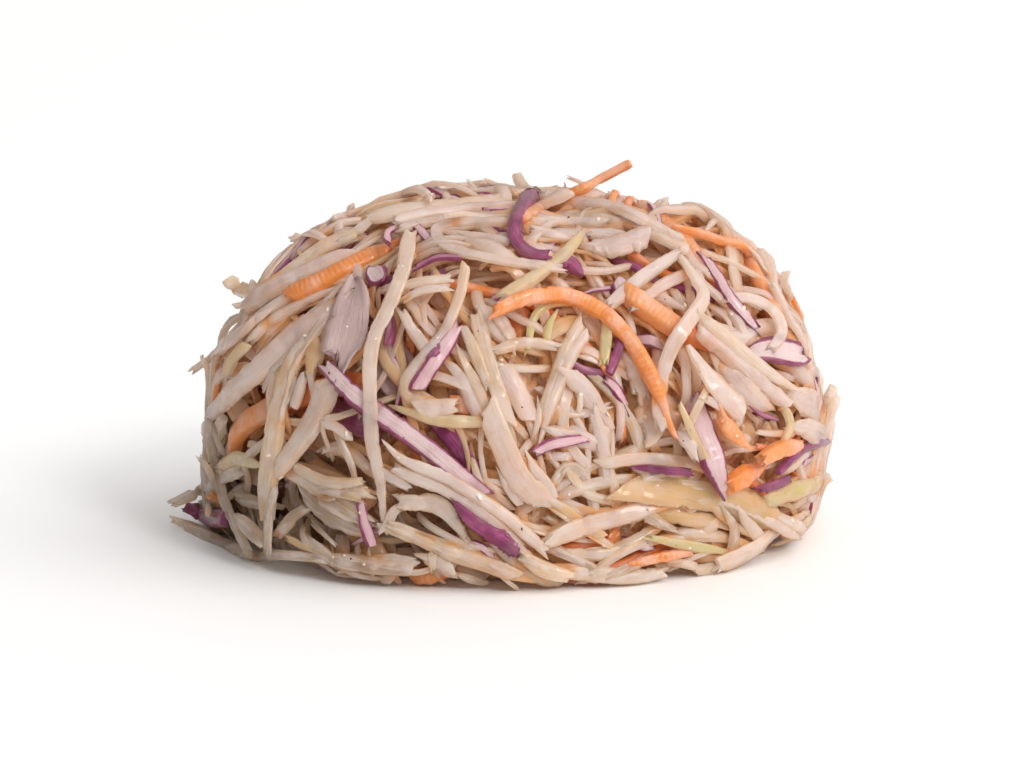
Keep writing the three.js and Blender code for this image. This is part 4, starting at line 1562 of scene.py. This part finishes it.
# ---- Small things on the surface ----
SMALL_THINGS = {
    "cabbage_crumbs": {
        "count": 130,
        "sizes": (0.18, 0.42),
        "flatness": 0.4,
        "noise": 0.25,
        "resolution": (4, 6),
        "finish": ("cabbage_crumb", srgb(238, 214, 196), 0.4, 0.5),
        "slot": "white_cabbage",
    },
    "dressing_drops": {
        "count": 40,
        "sizes": (0.12, 0.28),
        "flatness": 0.2,
        "noise": 0.05,
        "resolution": (5, 8),
        "finish": ("dressing", srgb(232, 214, 200), 0.25, 0.6),
        "slot": "dressing",
    },
    "pepper_specks": {
        "count": 70,
        "sizes": (0.1, 0.2),
        "flatness": 0.7,
        "noise": 0.15,
        "resolution": (3, 5),
        "finish": ("pepper", srgb(88, 62, 48), 0.6, 0.2),
        "slot": "pepper",
    },
}


DROP_HEIGHT = 20
DROP_SCATTER = 2
LOWEST_DROP = 1
SMALL_STRETCH = (0.8, 1.9)
SMALL_UPRIGHT = 0.3 # how much of the mound's way out is added to the surface's own
SMALL_PROUD = 0.25


def ball(rings, columns):
    """A unit ball's points, quads and fans."""
    turn = 2 * math.pi * np.arange(columns) / columns
    rows = []
    for i in range(1, rings):
        tilt = math.pi * i / rings
        level = np.full(columns, math.cos(tilt))
        rows.append(np.stack([math.sin(tilt) * np.cos(turn), math.sin(tilt) * np.sin(turn), level], axis=1))
    points = np.vstack(rows + [[[0, 0, 1]], [[0, 0, -1]]])
    return points, *shell_faces(len(rows), columns, downward=True)


def scattered(tree, rng, count):
    """Places on the outside of the heap, with the way out of the surface at each."""
    middles, outward, _, _ = mound_spots(rng, count)
    spots = []
    for middle, out in zip(middles, outward):
        start = Vector(middle + out * DROP_HEIGHT + CENTRING + rng.normal(0, DROP_SCATTER, 3))
        place, normal, _, _ = tree.ray_cast(start, Vector(-out))
        if place is not None and place.z > LOWEST_DROP:
            spots.append((np.array(place), np.array(normal), out))
    return spots


def small_things(name, tree, rng, count, sizes, flatness, noise, resolution, finish, slot):
    points, quads, fans = ball(*resolution)
    soup = Soup()
    for place, normal, out in scattered(tree, rng, count):
        normal = unit(normal + SMALL_UPRIGHT * out)
        side = unit(np.cross(normal, rng.normal(0, 1, 3)))
        size = rng.uniform(*sizes)
        stretch = rng.uniform(*SMALL_STRETCH)
        shape = points * (1 + noise * rng.normal(0, 1, (len(points), 1)))
        shape = shape * size * np.array([stretch, 1, flatness])
        turned = shape[:, :1] * side + shape[:, 1:2] * np.cross(normal, side) + shape[:, 2:] * normal
        soup.add(place + turned + normal * size * flatness * SMALL_PROUD, quads, fans, {})
    belongs(soup.object(name, plain_finish(*finish)))


def belongs(piece):
    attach(piece, "root")
    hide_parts("coleslaw")


# ---- Making the heap ----
PIECES = {
    "white": ("white_cabbage_shreds", "white_cabbage"),
    "outer": ("side_cabbage_shreds", "white_cabbage"),
    "back": ("back_cabbage_shreds", "white_cabbage"),
    "inner": ("inner_cabbage_shreds", "white_cabbage"),
    "small": ("small_cabbage_shreds", "white_cabbage"),
    "fine": ("fine_cabbage_shreds", "white_cabbage"),
    "yellow": ("yellow_cabbage_shreds", "yellow_cabbage"),
    "carrot": ("carrot_shreds", "carrot"),
    "red": ("red_cabbage_shreds", "red_cabbage"),
    "leaf": ("cabbage_leaves", "red_cabbage"),
}
WHITE_PIECES = {"around": "outer", "front": "white", "fine": "fine", "fill": "inner"}
FORK_SEED = 3
SCATTER_SEED = 31


def finishes():
    """The shreds' materials, by slot."""
    white = cabbage_finish(
        "white_cabbage",
        0.4,
        0.85,
        (0.0, srgb(238, 210, 208)),
        (0.2, srgb(244, 230, 231)),
        (0.42, srgb(242, 221, 209)),
        (0.64, srgb(240, 214, 178)),
        (0.84, srgb(232, 198, 140)),
        # The greyest stop serves the painted shade of the grey shreds and of the lower left.
        (1.0, srgb(176, 154, 130)),
    )
    yellow = cabbage_finish(
        "yellow_cabbage",
        0.15,
        0.3,
        (0.0, srgb(236, 186, 108)),
        (0.4, srgb(238, 200, 120)),
        (0.7, srgb(232, 222, 166)),
        (1.0, srgb(214, 222, 120)),
    )
    return {
        "white_cabbage": white,
        "yellow_cabbage": yellow,
        "carrot": carrot_finish(),
        "red_cabbage": red_cabbage_finish(),
    }


def piece_of(item):
    """Which piece a shred goes into."""
    family = family_of(item["kind"])
    if family == "white":
        family = WHITE_PIECES[item["rank"]]
    if family == "inner" and item["widths"][0] < SMALL_WIDTH:
        return "small"
    if family == "outer" and item["places"][:, 1].mean() > BACK_FROM:
        return "back"
    return family


def lay_all():
    """All shreds in the order of their meshes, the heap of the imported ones, and the random run so far."""
    heap = Heap(0.0)
    deep_heap = Heap(-2.0)
    around = lay_shreds_around(heap)
    outer = lay_outer(heap)
    deep = [lay_front_shred(deep_heap, LOWER_PRESS, *row) for row in DEEP_SHREDS]
    split = next(i for i, row in enumerate(FRONT_SHREDS) if row[0] == "mauve")
    lower = [lay_front_shred(heap, LOWER_PRESS, *row) for row in FRONT_SHREDS[:split]]
    fine = lay_fine(lower, heap)
    upper = [lay_front_shred(heap, UPPER_PRESS, *row) for row in FRONT_SHREDS[split:]]
    front = lower + upper
    fill, packed = lay_fill(front, heap, deep_heap)
    rng = np.random.default_rng(FORK_SEED)
    narrow = [part for item in around for part in split_shred(item, rng)]
    front = [part for item in front for part in forked(item, rng)]
    return narrow + outer + deep + front + fine + fill, packed, rng


def heap_pieces():
    laid, packed, rng = lay_all()
    soups = {}
    for item in laid:
        soups.setdefault(piece_of(item), Soup()).add(*shred_mesh(item, rng))
    tree = tree_of(soups.values())
    materials = finishes()
    for kind, soup in soups.items():
        name, slot = PIECES[kind]
        soup.mark_openness(tree)
        belongs(soup.object(name, materials[slot]))
    rng = np.random.default_rng(SCATTER_SEED)
    for name, thing in SMALL_THINGS.items():
        small_things(name, tree, rng, **thing)
    belongs(core_object(packed))


# ---- Stage ----
WORLD_TOWARDS = (0.86, -0.1, 0.58)
WORLD_DIM = 0.0
WORLD_BRIGHT = 1.1
FLOOR_REACH = 12.0 # in metres


def add_to_scene(name, data):
    made = bpy.data.objects.new(name, data)
    bpy.context.scene.collection.objects.link(made)
    return made


def floor_object():
    mesh = bpy.data.meshes.new("floor")
    low, high = -FLOOR_REACH, FLOOR_REACH
    corners = [(low, low, 0), (high, low, 0), (high, high, 0), (low, high, 0)]
    mesh.from_pydata(corners, [], [(0, 1, 2, 3)])
    finish = Finish("floor")
    finish.set(Base_Color=srgb(253, 253, 253), Roughness=0.6)
    mesh.materials.append(finish.material)
    add_to_scene("floor", mesh)


def sun(name, towards, strength, softness, colour):
    data = bpy.data.lights.new(name, "SUN")
    data.energy = strength
    data.angle = math.radians(softness)
    data.color = colour
    add_to_scene(name, data).rotation_euler = Vector(towards).to_track_quat("Z", "Y").to_euler()


def studio_world():
    """Soft light from all around, brighter from the right than from the left."""
    world = bpy.data.worlds.new("studio")
    world.use_nodes = True
    tree = world.node_tree
    background = tree.nodes["Background"]
    background.inputs[0].default_value = (1.0, 0.99, 0.98, 1)
    place = tree.nodes.new("ShaderNodeTexCoord")
    along = tree.nodes.new("ShaderNodeVectorMath")
    along.operation = "DOT_PRODUCT"
    along.inputs[1].default_value = Vector(WORLD_TOWARDS).normalized()
    light = tree.nodes.new("ShaderNodeMapRange")
    light.inputs["From Min"].default_value = -1
    light.inputs["To Min"].default_value = WORLD_DIM
    light.inputs["To Max"].default_value = WORLD_BRIGHT
    tree.links.new(place.outputs["Generated"], along.inputs[0])
    tree.links.new(along.outputs["Value"], light.inputs["Value"])
    tree.links.new(light.outputs[0], background.inputs[1])
    return world


def stage():
    floor_object()
    bpy.context.scene.world = studio_world()
    sun("key", (1.0, -0.35, 0.95), 0.95, 50, (1.0, 0.97, 0.94))
    sun("sparkle", (0.7, -0.9, 0.7), 1.0, 14, (1.0, 0.99, 0.98))
    bpy.context.scene.view_settings.view_transform = "Standard"


def camera():
    data = bpy.data.cameras.new("camera")
    data.lens = LENS
    data.lens = LENS
    data.sensor_width = 36.0
    data.clip_start = 0.01
    data.clip_end = 20.0
    made = add_to_scene("camera", data)
    eye = (EYE + CENTRING) * MM
    aim = (on_view(*FRAME_CENTRE) + CENTRING) * MM
    made.location = Vector(eye)
    made.rotation_euler = (Vector(aim) - Vector(eye)).to_track_quat("-Z", "Y").to_euler()
    bpy.context.scene.camera = made


camera()
heap_pieces()
stage()
